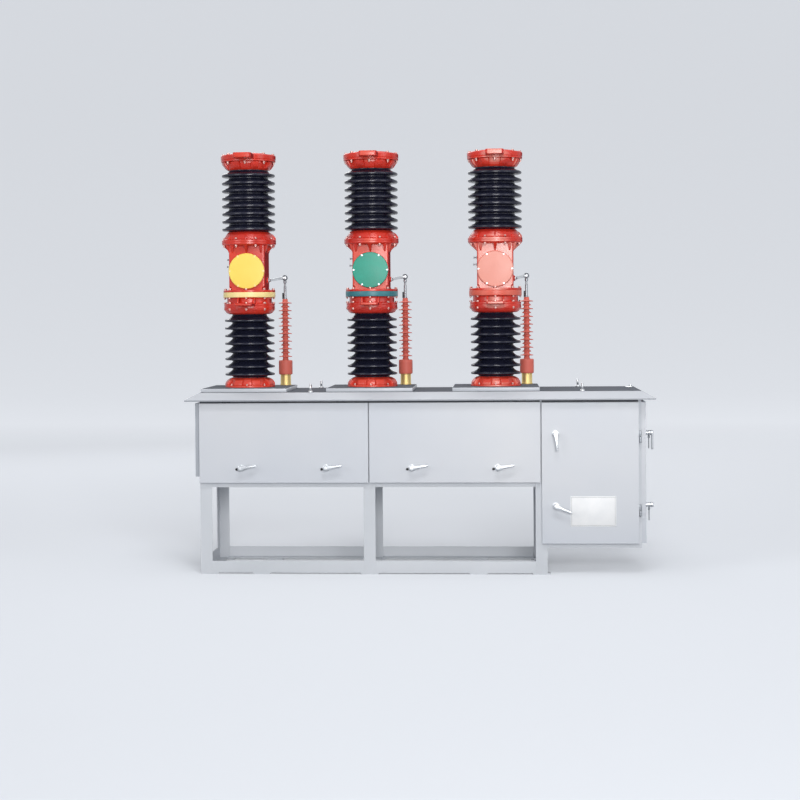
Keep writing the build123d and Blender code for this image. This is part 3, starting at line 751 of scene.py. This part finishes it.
# Finishes of each pole's ring, round cover and cover screws, and the slot of ring and cover
PHASES = {
    "left": ("pale_yellow", "yellow", "pale_yellow", "yellow_paint"),
    "middle": ("teal", "green", "zinc", "green_paint"),
    "right": ("coral", "salmon", "zinc", "salmon_paint"),
}


class BREAKER_OT_phase_rings(bpy.types.Operator):
    """Turned rings under each housing, in each pole's phase colour; the left and right rings are drawn paler,
    a painted highlight and a painted reflection.
    """

    bl_idname = "breaker.phase_rings"
    bl_label = "Phase Rings"

    def execute(self, context):
        ring = lathe([(148.5, 0, 4), (148.5, 30, 4)], base=RING)
        for side, (finish, _, _, slot) in PHASES.items():
            piece = painted(twin(ring, at(POLES[side], 0)), finish)
            fitted(f"{side}_ring", [piece], ROOT, slot, f"{side}_phase_ring")
        remove(ring)
        return {"FINISHED"}


def wall_rib(spot, out, way):
    """Tapered wedge under the housing's top flange. It stands on a wall at a spot, reaches out
    to the rim at its top, and narrows to a rounded point at its foot."""
    foot, head, thickness = RIM - 40, RIM + 6, 24
    outline = [(-12, foot), (0, foot), (3, foot + 3), (out, head), (-12, head)]
    along = Vector(way).cross(Vector((0, 0, 1)))
    place = axes_to(Vector(spot) - along * thickness / 2, way, (0, 0, 1))
    rib = cut_plate(outline, thickness, place, 0)
    pick(rib, "VERT", lambda corner: corner.co.z < (foot + head) / 2 * MM)
    squeeze = tuple(0.3 if abs(c) > 0.5 else 1 for c in along)
    bpy.ops.transform.resize(value=squeeze, center_override=Vector(spot) * MM)
    object_mode()
    return smooth(bevelled(rib, 2.0, 3))


class BREAKER_OT_housings(bpy.types.Operator):
    """Cast mechanism housings: square bodies between round flanges, with ribs, boss and studs."""

    bl_idname = "breaker.housings"
    bl_label = "Housings"

    def execute(self, context):
        flange = 12
        low = lathe([(147.5, 0, 1.2), (147.5, flange, 3)], base=HOUSING)
        high = lathe([(0, 0, 0), (138, 1, 3), (148, 6, 4), (154, 10, 3), (154, 21.5, 1.2)], base=RIM)
        wide, deep, tall, rim_radius = 102, 104, 255, 150
        square = [(-wide, -deep, 11), (wide, -deep, 11), (wide, deep, 11), (-wide, deep, 11)]
        ring = rounded([square[-1], *square, square[0]], 5)[1:-1]
        body = cut_plate(ring, tall, at(0, 0, HOUSING + flange), 0)
        pocket = lathe([(13, 0, 0), (13, 24, 6), (0, 30, 2)], 4, 32, HOUSING + 5)
        corners = [at(x, y) for x in (-99, 99) for y in (-99, 99)]
        shapes = [low, high, carved(body, repeated(pocket, corners))]
        for spread in (-81, 0, 81):
            reach = math.sqrt(rim_radius**2 - (abs(spread) + 9) ** 2)
            for side in (-1, 1):
                shapes.append(wall_rib((spread, side * deep, 0), reach - deep, (0, side, 0)))
                shapes.append(wall_rib((side * wide, spread, 0), reach - wide, (side, 0, 0)))
        seat = settle(lathe([(102.5, 0, 0), (102.5, 8, 1.5)], 3), facing("front", 0, -deep, COVER_CENTRE))
        boss = lathe([(19, -4, 0), (19, 2, 3), (15, 4, 2), (15, 9, 2)], 3, 48)
        shapes += [seat, settle(boss, facing("right", wide, 0, BOSS))]
        on_each_pole("housing_casting", shapes, "red_casting", "housings")

        bolts = [
            repeated(bolt_head(15, 8), circle(137, HOUSING + flange)),
            repeated(nut_on_stud(14, 9, 5), circle(145, RIM + 7, BETWEEN, True)),
            repeated(bolt_head(12, 6), circle(146, BELL + 17.5, BETWEEN)),
        ]
        on_each_pole("housing_bolts", bolts, "bright_steel")

        studs = []
        for z, length in ((1750, 20), (1711, 22)):
            stud = lathe([
                (7, -3, 0), (7, 4, 1), (3.8, 5, 0.5), (3.8, length - 5, 0.5), (5.4, length - 4, 0.5),
                (5.4, length, 1),
            ], 2, 20)
            studs.append(painted(settle(stud, facing("left", -wide, -20, z)), "steel"))
        on_each_pole("side_studs", studs, "bright_steel")
        return {"FINISHED"}


class BREAKER_OT_housing_covers(bpy.types.Operator):
    """Round covers in the phase colours, screwed to the front of each housing. The right cover's red is drawn
    salmon, a painted reflection.
    """

    bl_idname = "breaker.housing_covers"
    bl_label = "Housing Covers"

    def execute(self, context):
        disc = lathe([(100.5, 0, 1), (100.5, 9.5, 3), (97.5, 13, 2)])
        sixths = [k * math.pi / 3 for k in range(6)]
        screws = 93.5
        spots = [at(screws * math.cos(turn), screws * math.sin(turn), 9) for turn in sixths]
        dome = lathe([(9, 0, 0.3), (9, 1.4, 1), (6.5, 3.6, 2.5), (0, 5, 0)], 4, 32)
        heads = repeated(dome, spots)
        for side, (_, finish, screw, slot) in PHASES.items():
            place = facing("front", POLES[side], COVER_SEAT, COVER_CENTRE)
            shapes = [painted(twin(disc, place), finish), painted(twin(heads, place), screw)]
            fitted(f"{side}_cover", shapes, ROOT, slot, f"{side}_housing_cover")
        remove(disc, heads)
        return {"FINISHED"}


class BREAKER_OT_upper_flanges(bpy.types.Operator):
    """Ribbed cast bells below and above the upper insulators. The lower ones have a lug at the
    right."""

    bl_idname = "breaker.upper_flanges"
    bl_label = "Upper Flanges"

    def execute(self, context):
        bell = lathe([
            (154, 0, 1.5), (154, 13.5, 3.5), (140, 17.5, 4), (136, 30.5, 10), (127, 48.5, 12), (118, 58.5, 4),
            (112, 60.5, 0),
        ], base=BELL)
        rib = [(108, 14.5), (148, 14.5), (147, 19.5), (122, 54.5), (108, 57.5)]
        lug = [
            (104, 12.5, 0), (153, 12.5, 0), (153, 24.5, 6), (140, 42.5, 14), (122, 54.5, 10), (104, 57.5, 0),
        ]
        shapes = [bell, *radial_ribs(rib, 9, EIGHTHS, BELL, 2)]
        shapes += radial_ribs(rounded(lug, 4), 26, [math.radians(101)], BELL, 3.5, 4)
        on_each_pole("upper_bell", shapes, "red_casting", "upper_flanges")

        bell = lathe([
            (110, 0, 0), (117, 0.5, 3), (124, 10, 8), (131, 24, 8), (134, 36, 4), (134, 48, 1),
        ], base=TOP_BELL)
        rib = [(108, 2), (119, 2), (131, 11), (143, 28), (147, 42), (147, 47), (108, 47)]
        shapes = [bell, *radial_ribs(rib, 46, BETWEEN, TOP_BELL, 4)]
        on_each_pole("top_bell", shapes, "red_casting", "upper_flanges")
        return {"FINISHED"}


class BREAKER_OT_top_terminals(bpy.types.Operator):
    """Caps with their terminal pads and bolts at the head of each pole."""

    bl_idname = "breaker.top_terminals"
    bl_label = "Top Terminals"

    def execute(self, context):
        cap = lathe([
            (155, 0, 2), (155, 9, 1.2), (153, 11, 0.8), (156, 13, 1.5), (156, 34, 4), (151, 38.5, 3),
            (112, 39, 4), (104, 47, 4), (98, 48, 2),
        ], base=CAP)
        shapes = [cap, drilled_pad(10, CAP + 9, 27, 2.0)]
        on_each_pole("top_cap", shapes, "red_casting", "top_terminals")
        nuts = repeated(nut_on_stud(14, 9, 7), circle(144, CAP, hung=True))
        heads = repeated(bolt_head(15, 6.5), circle(142, CAP + 39))
        on_each_pole("cap_bolts", [nuts, heads], "bright_steel")
        return {"FINISHED"}


def post_outline():
    """Half outline of the side post's shed column: wide and narrow sheds in turn."""
    core, bottom, top, pitch = 15.5, PLATE_TOP + 145, POST_TOP, 22.2
    points = [(0, bottom), (core + 4, bottom), (core + 2, bottom + 5), (core + 0.5, bottom + 9)]
    for index in range(15):
        reach = 38.5 if index % 2 == 0 else 26.5
        low = 1191 + index * pitch
        shed = (
            (core, -3.4), (core + 2.5, -1.2), (reach - 2.5, -0.6), (reach - 0.7, 0), (reach, 1.5),
            (reach - 0.6, 3), (reach - 3, 4), (core + 6, 6.6), (core + 2, 9), (core, 12),
        )
        points += [(radius, low + rise) for radius, rise in shed]
    return [*points, (core, top - 4), (core - 1.5, top), (0, top)]


class BREAKER_OT_side_posts(bpy.types.Operator):
    """Side post insulators with their gold bases, sleeves, rods, eyes and links."""

    bl_idname = "breaker.side_posts"
    bl_label = "Side Posts"

    def execute(self, context):
        spot = at(*POST)
        foot = lathe([
            (31.5, 0, 1), (31.5, 7, 0.8), (30, 9, 0.8), (30, 58, 1), (31.5, 60, 1), (31.5, 63, 1),
        ], 3, 64, PLATE_TOP)
        on_each_pole("post_foot", [painted(settle(foot, spot), "gold")], "post_brass", "post_bases")
        sleeve = lathe([(39, 0, 3), (40, 11, 2), (40, 71, 2), (39, 82, 5)], 4, 64, PLATE_TOP + 63)
        column = painted(settle(joined([sleeve, turned(post_outline(), 64)]), spot), "post")
        on_each_pole("post_sheds", [column], "post_insulator_red", "post_insulators")

        stem = lathe([
            (11, 0, 0.8), (11, 6, 0.8), (8, 8, 0.6), (8, 73, 0.6), (6, 76, 0.5), (6, 91, 0.5), (9.5, 93, 0.6),
            (9.5, 107, 1.5), (0, 110, 0),
        ], 3, 40, POST_TOP)
        eye = lathe([(7, -8, 0), (15.5, -8, 2), (15.5, 8, 2), (7, 8, 0), (7, -8, 0)], 3, 40)
        settle(eye, facing("front", 0, 0, LINK))
        clip = painted(block((-16, -5, POST_TOP + 1), (-8.5, 5, POST_TOP + 36), 1.5), "rubber")
        rod = joined([painted(stem, "steel"), painted(eye, "steel"), clip])
        on_each_pole("post_rod", [settle(rod, spot)], "bright_steel", "post_rods")

        # The bar rises from the housing's boss to the pin through the post's eye
        x, y = POST
        start, end = Vector((113, 4, BOSS)), Vector((x - 6, y - 16, LINK))
        along = end - start
        side = along.cross(Vector((0, 0, 1))).normalized()
        bar = [(-4, -8), (along.length + 2, -8), (along.length + 2, 8), (-4, 8)]
        bar = cut_plate(bar, 6, axes_to(start - side * 3, along, side.cross(along)), 1.2)
        foot = block((110, -16, BOSS - 12), (116, 14, BOSS + 12), 1.5)
        foot_bolt = settle(bolt_head(14, 6), facing("right", 116, -6, BOSS))
        ring = settle(lathe([(16, 0, 1.2), (16, 6, 1.2)], 3, 40), facing("front", x, y - 8, LINK))
        pin = settle(bolt_head(14, 6), facing("front", x, y - 14, LINK))
        tail = settle(lathe([(5.6, -1, 0), (5.6, 15, 1)], 2, 24), facing("rear", x, y - 6, LINK))
        shapes = [painted(shape, "zinc") for shape in (bar, pin, tail)]
        shapes += [painted(foot, "steel"), painted(foot_bolt, "steel"), painted(ring, "blackened")]
        on_each_pole("link_arm", shapes, "bright_steel", "link_arms")
        return {"FINISHED"}


def angle_bar(axis, start, end, heel, legs):
    """Rolled angle along X, Y or Z, from its heel, with a rounded root and toes. The section's two
    directions are the next two axes in turn."""
    turns = {"X": ((0, 1, 0), (0, 0, 1)), "Y": ((0, 0, 1), (1, 0, 0)), "Z": ((1, 0, 0), (0, 1, 0))}
    x_to, y_to = turns[axis]
    section = rounded([
        (0, 0, 0), (ANGLE_LEG, 0, 0.8), (ANGLE_LEG, ANGLE_T, 3), (ANGLE_T, ANGLE_T, 7),
        (ANGLE_T, ANGLE_LEG, 3), (0, ANGLE_LEG, 0.8), (0, 0, 0),
    ])[:-1]
    outline = [(heel[0] + legs[0] * a, heel[1] + legs[1] * b) for a, b in section]
    place = axes_to(Vector(x_to).cross(Vector(y_to)) * start, x_to, y_to)
    return cut_plate(outline, end - start, place, 0)


def rail_set(z, to_z, bays, ends):
    """Front, rear and end rails at one height."""
    bars = []
    for x0, x1 in bays:
        bars.append(angle_bar("X", x0, x1, (FRONT, z), (1, to_z)))
        bars.append(angle_bar("X", x0, x1, (-FRONT, z), (-1, to_z)))
    for x, to_x in ends:
        bars.append(angle_bar("Y", FRONT + ANGLE_LEG, -FRONT - ANGLE_LEG, (z, x), (to_z, to_x)))
    return bars


class BREAKER_OT_stand(bpy.types.Operator):
    """Welded angle frame: posts and rails."""

    bl_idname = "breaker.stand"
    bl_label = "Stand"

    def execute(self, context):
        posts = ((-940, 1, 8), (-32.5, 1, 8), (977.5, -1, 8), (1490, -1, CABINET_FOOT))
        groups = {"posts": ("frame_posts", [
            angle_bar("Z", foot, STAND_TOP, (x, y), (to_x, to_y))
            for y, to_y in ((FRONT, 1), (-FRONT, -1)) for x, to_x, foot in posts
        ])}
        box = (((-875, -32.5), (32.5, 912.5)), ((-940, 1), (977.5, -1)))
        levels = (
            ("foot_rails", "bottom_rails", 8, 1), ("sill_rails", "middle_rails", 482, 1),
            ("head_rails", "top_rails", STAND_TOP, -1),
        )
        for name, node, z, to_z in levels:
            groups[name] = (node, rail_set(z, to_z, *box))
        cabinet = (((980.5, 1425),), ((1490, -1),))
        rails = rail_set(CABINET_FOOT, 1, *cabinet) + rail_set(STAND_TOP, -1, *cabinet)
        groups["cabinet_frame"] = ("cabinet_rails", rails)
        for name, (node, bars) in groups.items():
            fitted(name, [painted(bar, "angle") for bar in bars], ROOT, "steel_frame", node)
        return {"FINISHED"}


def tray(low, high, back):
    """Folded sheet tray: a block whose back face is inset and pushed in."""
    sheet = 2
    obj = block(low, high, 0)
    pick(obj, "FACE", lambda face: face.normal.dot(Vector(back)) > 0.9)
    bpy.ops.mesh.inset(thickness=sheet * MM, depth=0)
    depth = min(b - a for a, b in zip(low, high)) - sheet
    push = [-c * depth * MM for c in back]
    bpy.ops.mesh.extrude_region_move(TRANSFORM_OT_translate={"value": push})
    leave_edit()
    edge = bpy.context.scene.breaker_sizes.sheet_edge / MM
    return painted(smooth(bevelled(obj, edge, 3)), "sheet")


def front_tray(x0, x1, foot, top):
    return tray((x0, COVER_FACE, foot), (x1, COVER_BACK, top), (0, 1, 0))


def rear_tray(x0, x1, foot, top):
    return tray((x0, -COVER_BACK, foot), (x1, -COVER_FACE, top), (0, -1, 0))


def flap_hinge(x0, x1, fixed):
    """Rolled knuckle of a flap hinge, with its leaf on the flap or on the frame."""
    y, z = -336, 954
    knuckle = lathe([(3.5, x0, 0.5), (3.5, x1, 0.5)], 2, 20)
    settle(knuckle, at(0, y, z) @ Matrix.Rotation(math.pi / 2, 4, "Y"))
    low, high = ((y, z - 3.5), (FRONT, z + 3.5)) if fixed else ((y - 3.5, z - 7), (y + 3.5, z))
    leaf = block((x0, *low), (x1, *high), 0.6)
    # Knuckle and leaf sit in the gap over the covers and are blackened, a dark that carries on the painted
    # shadow line there
    return painted(joined([knuckle, leaf]), "blackened")


class BREAKER_OT_covers(bpy.types.Operator):
    """Folded front flaps with their knuckles, the rear covers and the left end cover."""

    bl_idname = "breaker.covers"
    bl_label = "Covers"

    def execute(self, context):
        rear = []
        for side, (x0, x1) in COVER_SPANS.items():
            shapes = [front_tray(x0, x1, COVER_FOOT, COVER_TOP)]
            for x in (x0 + HINGE_INSET, x1 - HINGE_INSET):
                shapes.append(flap_hinge(x - 25, x - 0.5, False))
            body = f"{side}_front_cover"
            fitted(f"{side}_flap", shapes, body, "grey_sheet", body)
            rear.append(rear_tray(x0, x1, COVER_FOOT, COVER_TOP))
        fitted("rear_panels", rear, ROOT, "grey_sheet", "rear_covers")
        end = tray((-965.5, FRONT, END_COVER_FOOT), (-940.5, -FRONT, COVER_TOP), (1, 0, 0))
        fitted("end_panel", [painted(end, "shaded_end_sheet")], ROOT, "grey_sheet", "left_end_cover")
        return {"FINISHED"}


class BREAKER_OT_cabinet(bpy.types.Operator):
    """Cabinet doors, back cover, hinges, the strip of painted shadow over the tops and the bare nameplate."""

    bl_idname = "breaker.cabinet"
    bl_label = "Cabinet"

    def execute(self, context):
        door = [front_tray(*DOOR_SPAN, DOOR_FOOT, DOOR_TOP)]
        side = [tray((SIDE_BACK, -318, DOOR_FOOT), (SIDE_FACE, 312, DOOR_TOP), (-1, 0, 0))]
        fixed = []
        # Each hinge's pin, the gap between its knuckles, and its leaf's two (x, y) corners: the
        # upper half swings with a door, and the lower one stays on the cabinet
        halves = (
            (door, 1, (1482, -352), 1.2, (1473, -355.5), (1481, -348.5)),
            (side, 1, (1512, 320), 0.5, (1508.5, 311), (1515.5, 319)),
            (fixed, -1, (1482, -352), 1.2, (1482, -352), (1489, -330)),
            (fixed, -1, (1512, 320), 0.5, (1490, 320), (1512, 327)),
        )
        for centre in (355, 757):
            for pieces, up, pin, gap, low, high in halves:
                z0, z1 = sorted((centre + up * gap, centre + up * 32.5))
                barrel = lathe([
                    (6.2, z0, 0.5), (7, z0 + 1.5, 0.6), (7, z1 - 1.5, 0.6), (6.2, z1, 0.5),
                ], 2, 32)
                z0, z1 = sorted((centre + up * 0.5, centre + up * 32.5))
                leaf = block((*low, z0), (*high, z1), 0.6)
                pieces += [painted(settle(barrel, at(*pin)), "steel"), painted(leaf, "steel")]
        for x0, x1 in COVER_SPANS.values():
            for x in (x0 + HINGE_INSET, x1 - HINGE_INSET):
                fixed.append(flap_hinge(x + 0.5, x + 25, True))
        fitted("door_skin", door, "cabinet_door", "grey_sheet", "cabinet_door")
        fitted("side_skin", side, "side_door", "grey_sheet", "side_door")
        fitted("fixed_hinges", fixed, ROOT, "steel_frame", "hinges")
        # Flat dark strip on the head rail, a painted shadow: the dark line of shade in the gap over the
        # covers' and the door's tops
        spans = ((-938, 938), (949, 1473))
        shadow_strips = [painted(block((x0, -330.4, 946), (x1, -330, 959.5), 0), "dark") for x0, x1 in spans]
        fitted("top_gap_shadow", shadow_strips, ROOT, "steel_frame")
        back = rear_tray(*DOOR_SPAN, DOOR_FOOT, DOOR_TOP)
        fitted("cabinet_back", [back], ROOT, "grey_sheet", "cabinet_back_cover")

        x0, x1, z0, z1 = 1108, 1344, 274, 427
        face = COVER_FACE - 1.5
        plate = block((x0 - 6, face, z0 - 6), (x1 + 6, COVER_FACE, z1 + 6), 0.5)
        shapes = [painted(plate, "plate")]
        lines = [((x0, z - 0.5), (x1, z + 0.5)) for z in (z0, z1)]
        lines += [((x - 0.5, z0), (x + 0.5, z1)) for x in (x0, x1)]
        for (a, b), (c, d) in lines:
            shapes.append(painted(block((a, face - 0.25, b), (c, face + 0.1, d), 0), "dark"))
        rivet = lathe([(3.6, 0, 0.3), (3.3, 1, 1.2), (1.8, 1.9, 1), (0, 2, 0)], 3, 20)
        spots = [facing("front", x, face, z) for x in (x0 - 3, x1 + 3) for z in (z0 - 3, z1 + 3)]
        shapes.append(painted(repeated(rivet, spots), "zinc"))
        fitted("bare_nameplate", shapes, "cabinet_door", "bright_steel", "nameplate")
        return {"FINISHED"}


class BREAKER_OT_roof(bpy.types.Operator):
    """Hipped sheet roof, pole plates, lifting eyes and the small earthing lug."""

    bl_idname = "breaker.roof"
    bl_label = "Roof"

    def execute(self, context):
        start, foot, length, depth, eave = -1015, 960, 2580, 790, 8
        top_length, top_depth = 2434, 664
        low, high = (start, -depth / 2, foot), (start + length, depth / 2, foot + eave)
        roof = block(low, high, 0)
        pick(roof, "FACE", lambda face: face.normal.z > 0.9)
        rise = (ROOF_TOP - high[2]) * MM
        bpy.ops.mesh.extrude_region_move(TRANSFORM_OT_translate={"value": (0, 0, rise)})
        centre = ((start + length / 2) * MM, 0, ROOF_TOP * MM)
        bpy.ops.transform.resize(value=(top_length / length, top_depth / depth, 1), center_override=centre)
        object_mode()
        pick(roof, "FACE", lambda face: face.normal.z < -0.9)
        bpy.ops.mesh.delete(type="FACE")
        leave_edit()
        applied(roof, "SOLIDIFY", thickness=3 * MM, offset=-1)
        smooth(bevelled(roof, 1.4, 3, 20), 25)
        fitted("roof_skin", [painted(roof, "eaves")], ROOT, "roof_sheet", "roof")

        plate = block((-240, -280, ROOF_TOP), (240, 280, PLATE_TOP), 2.0, 3)
        on_each_pole("pole_plate", [painted(plate, "roof")], "steel_frame", "pole_plates")

        collar = lathe([(14, 0, 0.5), (14, 6, 1.5), (9, 9, 1.5), (8, 13, 0.5)], 3, 40, ROOF_TOP)
        ring = settle(loop(15, 6), facing("right", 0, 0, ROOF_TOP + 27))
        spots = [at(x, y) for x in (-322, 1172) for y in (-315, 315)]
        eyes = repeated(painted(joined([collar, ring]), "zinc"), spots)
        fitted("eye_bolts", [eyes], ROOT, "bright_steel", "lifting_eyes")
        x, y = 1460, 206
        lug = block((x - 20, y - 10, ROOF_TOP - 0.5), (x + 20, y + 10, ROOF_TOP + 5), 1.2)
        bolt = settle(bolt_head(15, 7), at(x + 8, y, ROOF_TOP + 5))
        fitted("earthing_lug", [painted(lug, "zinc"), painted(bolt, "zinc")], ROOT, "bright_steel")
        return {"FINISHED"}


def swing_lever():
    """Cast swing lever. It lies along +X, with the door's face at Z = 0 and Z outwards."""
    hub = lathe([
        (14.5, 0.3, 1), (14.5, 6, 1.5), (12, 8, 1.5), (12, 26, 2), (14.5, 30, 2), (14.5, 39, 5), (7, 43.3, 3),
    ], 4, 48)
    tip = 6.6
    end = HANDLE_REACH - tip
    back = [math.pi / 2 + k * math.pi / 8 for k in range(9)]
    front = [-math.pi / 2 + k * math.pi / 8 for k in range(1, 8)]
    outline = [(14 * math.cos(turn), 14 * math.sin(turn)) for turn in back]
    outline += [(14, -12), (40, -8.4), (end, -tip)]
    outline += [(end + tip * math.cos(turn), tip * math.sin(turn)) for turn in front]
    outline += [(end, tip), (40, 8.4), (14, 12)]
    blade = cut_plate(outline, 12.6, at(0, 0, 30.5), 4.2, 5)
    return painted(joined([hub, blade]), "chrome")


def rosette(plug):
    """Round escutcheon under a lever, with a black lock plug beside it on the covers."""
    disc = lathe([(19, 0, 0.5), (19, 1.6, 1), (16, 3, 1)], 3, 40)
    shapes = [painted(disc, "chrome")]
    if plug:
        stopper = lathe([(7, 0, 0.5), (7, 4, 1.5), (3, 5.4, 1)], 3, 28)
        shapes.append(painted(settle(stopper, at(-24.5, -7)), "rubber"))
    return joined(shapes)


def hanging_key(z):
    """Flat key on a wire loop around the shank of a side-door lever."""
    x, y = SIDE_FACE + 18, -270
    wire = settle(loop(13.6, 1, 36), facing("right", x, y, z - 1.2))
    half = [(3, -84), (3, -30), (8, -26), (8, -14), (3, -10)]
    blade = [(-3, -84), *half, *[(-u, v) for u, v in half[:0:-1]]]
    place = axes_to((x, y, z - 2), (1, 1, 0), (0, 0, 1)) @ at(0, 0, -1.1)
    return painted(joined([wire, cut_plate(blade, 2.2, place, 0.5)]), "steel")


class BREAKER_OT_handles(bpy.types.Operator):
    """Swing levers with escutcheons and lock plugs on the covers and doors."""

    bl_idname = "breaker.handles"
    bl_label = "Handles"

    def execute(self, context):
        lever = swing_lever()
        plain, plugged = rosette(False), rosette(True)
        spots = {}
        for cover, name, x in (
            ("left", "left", -708), ("left", "right", -236), ("right", "left", 236), ("right", "right", 708),
        ):
            place = facing("front", x, COVER_FACE, COVER_HANDLES)
            spots[f"{cover}_cover_{name}_handle"] = (f"{cover}_front_cover", place, 10, plugged)
        for door, way, spot, angles in (
            ("cabinet_door", "front", (1023, COVER_FACE), (-85, -22)),
            ("side_door", "right", (SIDE_FACE, -270), (-90, 0)),
        ):
            for (name, z), angle in zip(HANDLE_HEIGHTS.items(), angles):
                spots[f"{door}_{name}_handle"] = (door, facing(way, *spot, z), angle, plain)
        for name, (door, place, angle, under) in spots.items():
            turn = Matrix.Rotation(math.radians(angle), 4, "Z")
            fitted(name.replace("handle", "lever"), [twin(lever, place @ turn)], name, "handle_chrome", name)
            fitted(name.replace("handle", "escutcheon"), [twin(under, place)], door, "handle_chrome")
        remove(lever, plain, plugged)
        for name, z in HANDLE_HEIGHTS.items():
            fitted(f"{name}_key", [hanging_key(z)], "side_door", "handle_chrome")
        return {"FINISHED"}


class BREAKER_OT_studio(bpy.types.Operator):
    """Floor, backdrop, soft lamps and the camera at the photograph's place."""

    bl_idname = "breaker.studio"
    bl_label = "Studio"

    def execute(self, context):
        scene = context.scene
        deselect_all()
        bpy.ops.mesh.primitive_plane_add(size=40, location=(0, 8, 0))
        floor = take_name("studio_floor")
        corners = floor.data.vertices
        pick(floor, "EDGE", lambda edge: min(corners[v].co.y for v in edge.vertices) > 19)
        bpy.ops.mesh.extrude_region_move(TRANSFORM_OT_translate={"value": (0, 0, 22)})
        leave_edit()
        bevelled(floor, 6000, 12, 30)
        smooth(settle(floor), 60)
        studio_paper("paper", "pale_studio_paper", "#E4E7EC", "#BBBEC3")
        painted(floor, "paper")

        world = bpy.data.worlds.new("studio_air")
        scene.world = world
        world.use_nodes = True
        air = world.node_tree
        air.nodes.clear()
        bright = {"To Min": 0.4, "To Max": 0.84, "Value": seen_ray(air)}
        strength = add_node(air, "ShaderNodeMapRange", bright).outputs["Result"]
        sky = add_node(air, "ShaderNodeBackground", {"Color": rgba("#E8EBF0"), "Strength": strength})
        add_node(air, "ShaderNodeOutputWorld", {"Surface": sky.outputs["Background"]})

        # Each lamp's place and size in metres, and its power in watts; all look at the middle pole
        lamps = {
            "front_softbox": ((1.9, -11.7, 2.6), (4.4, 3.6), 560),
            "brow_softbox": ((1.0, -4.6, 6.6), (2.8, 1.2), 120),
            "left_softbox": ((-6.0, -6.0, 3.6), (3.5, 3.5), 120),
            "right_softbox": ((7.2, -4.5, 3.2), (3.5, 3.5), 70),
            "top_softbox": ((0.3, 0.6, 6.5), (4.0, 4.0), 80),
            "rear_softbox": ((-2.5, 7.0, 5.5), (4.2, 4.2), 140),
        }
        for name, (spot, size, power) in lamps.items():
            deselect_all()
            bpy.ops.object.light_add(type="AREA", location=spot)
            lamp = take_name(name)
            lamp.data.shape = "RECTANGLE"
            lamp.data.size, lamp.data.size_y = size
            lamp.data.energy = power
            aim = Vector((0.27, 0, 1.2)) - Vector(spot)
            lamp.rotation_euler = aim.to_track_quat("-Z", "Y").to_euler()

        # The camera was fitted to the photograph: its focal length and centre are in pixels of it
        focal, centre, width = 1864.8, (363.5, 350.6), 800
        deselect_all()
        bpy.ops.object.camera_add(location=(0.72075, -10.5691, 1.4331))
        camera = take_name("photo_camera")
        yaw = Matrix.Rotation(0.0728, 4, "Z")
        pitch = Matrix.Rotation(math.pi / 2 - 0.0193, 4, "X")
        roll = Matrix.Rotation(-0.0079, 4, "Z")
        camera.rotation_euler = (yaw @ pitch @ roll).to_euler()
        camera.data.sensor_width = 36
        camera.data.lens = focal / width * 36
        camera.data.shift_x = (width / 2 - centre[0]) / width
        camera.data.shift_y = (centre[1] - width / 2) / width
        camera.data.clip_end = 100
        scene.camera = camera
        scene.view_settings.view_transform = "Standard"
        return {"FINISHED"}


OPERATORS = (
    BREAKER_OT_finishes, BREAKER_OT_insulators, BREAKER_OT_base_flanges, BREAKER_OT_lower_terminals,
    BREAKER_OT_phase_rings, BREAKER_OT_housings, BREAKER_OT_housing_covers, BREAKER_OT_upper_flanges,
    BREAKER_OT_top_terminals, BREAKER_OT_side_posts, BREAKER_OT_stand, BREAKER_OT_covers,
    BREAKER_OT_cabinet, BREAKER_OT_roof, BREAKER_OT_handles, BREAKER_OT_studio,
)


class BREAKER_PT_panel(bpy.types.Panel):
    """Lists the breaker's pieces in the order in which they are built."""

    bl_idname = "BREAKER_PT_panel"
    bl_label = "Outdoor Breaker"
    bl_space_type = "VIEW_3D"
    bl_region_type = "UI"
    bl_category = "Breaker"

    def draw(self, context):
        layout = self.layout
        for group in (context.scene.breaker_colours, context.scene.breaker_sizes):
            for name in group.__annotations__:
                layout.prop(group, name)
        for operator in OPERATORS:
            layout.operator(operator.bl_idname)


CLASSES = (BreakerColours, BreakerSizes, *OPERATORS, BREAKER_PT_panel)


def register():
    for cls in CLASSES:
        bpy.utils.register_class(cls)
    bpy.types.Scene.breaker_colours = PointerProperty(type=BreakerColours)
    bpy.types.Scene.breaker_sizes = PointerProperty(type=BreakerSizes)


def unregister():
    del bpy.types.Scene.breaker_sizes
    del bpy.types.Scene.breaker_colours
    for cls in reversed(CLASSES):
        bpy.utils.unregister_class(cls)


def main():
    register()
    for operator in OPERATORS:
        group, name = operator.bl_idname.split(".")
        getattr(getattr(bpy.ops, group), name)()
    deselect_all()


if __name__ == "__main__":
    main()
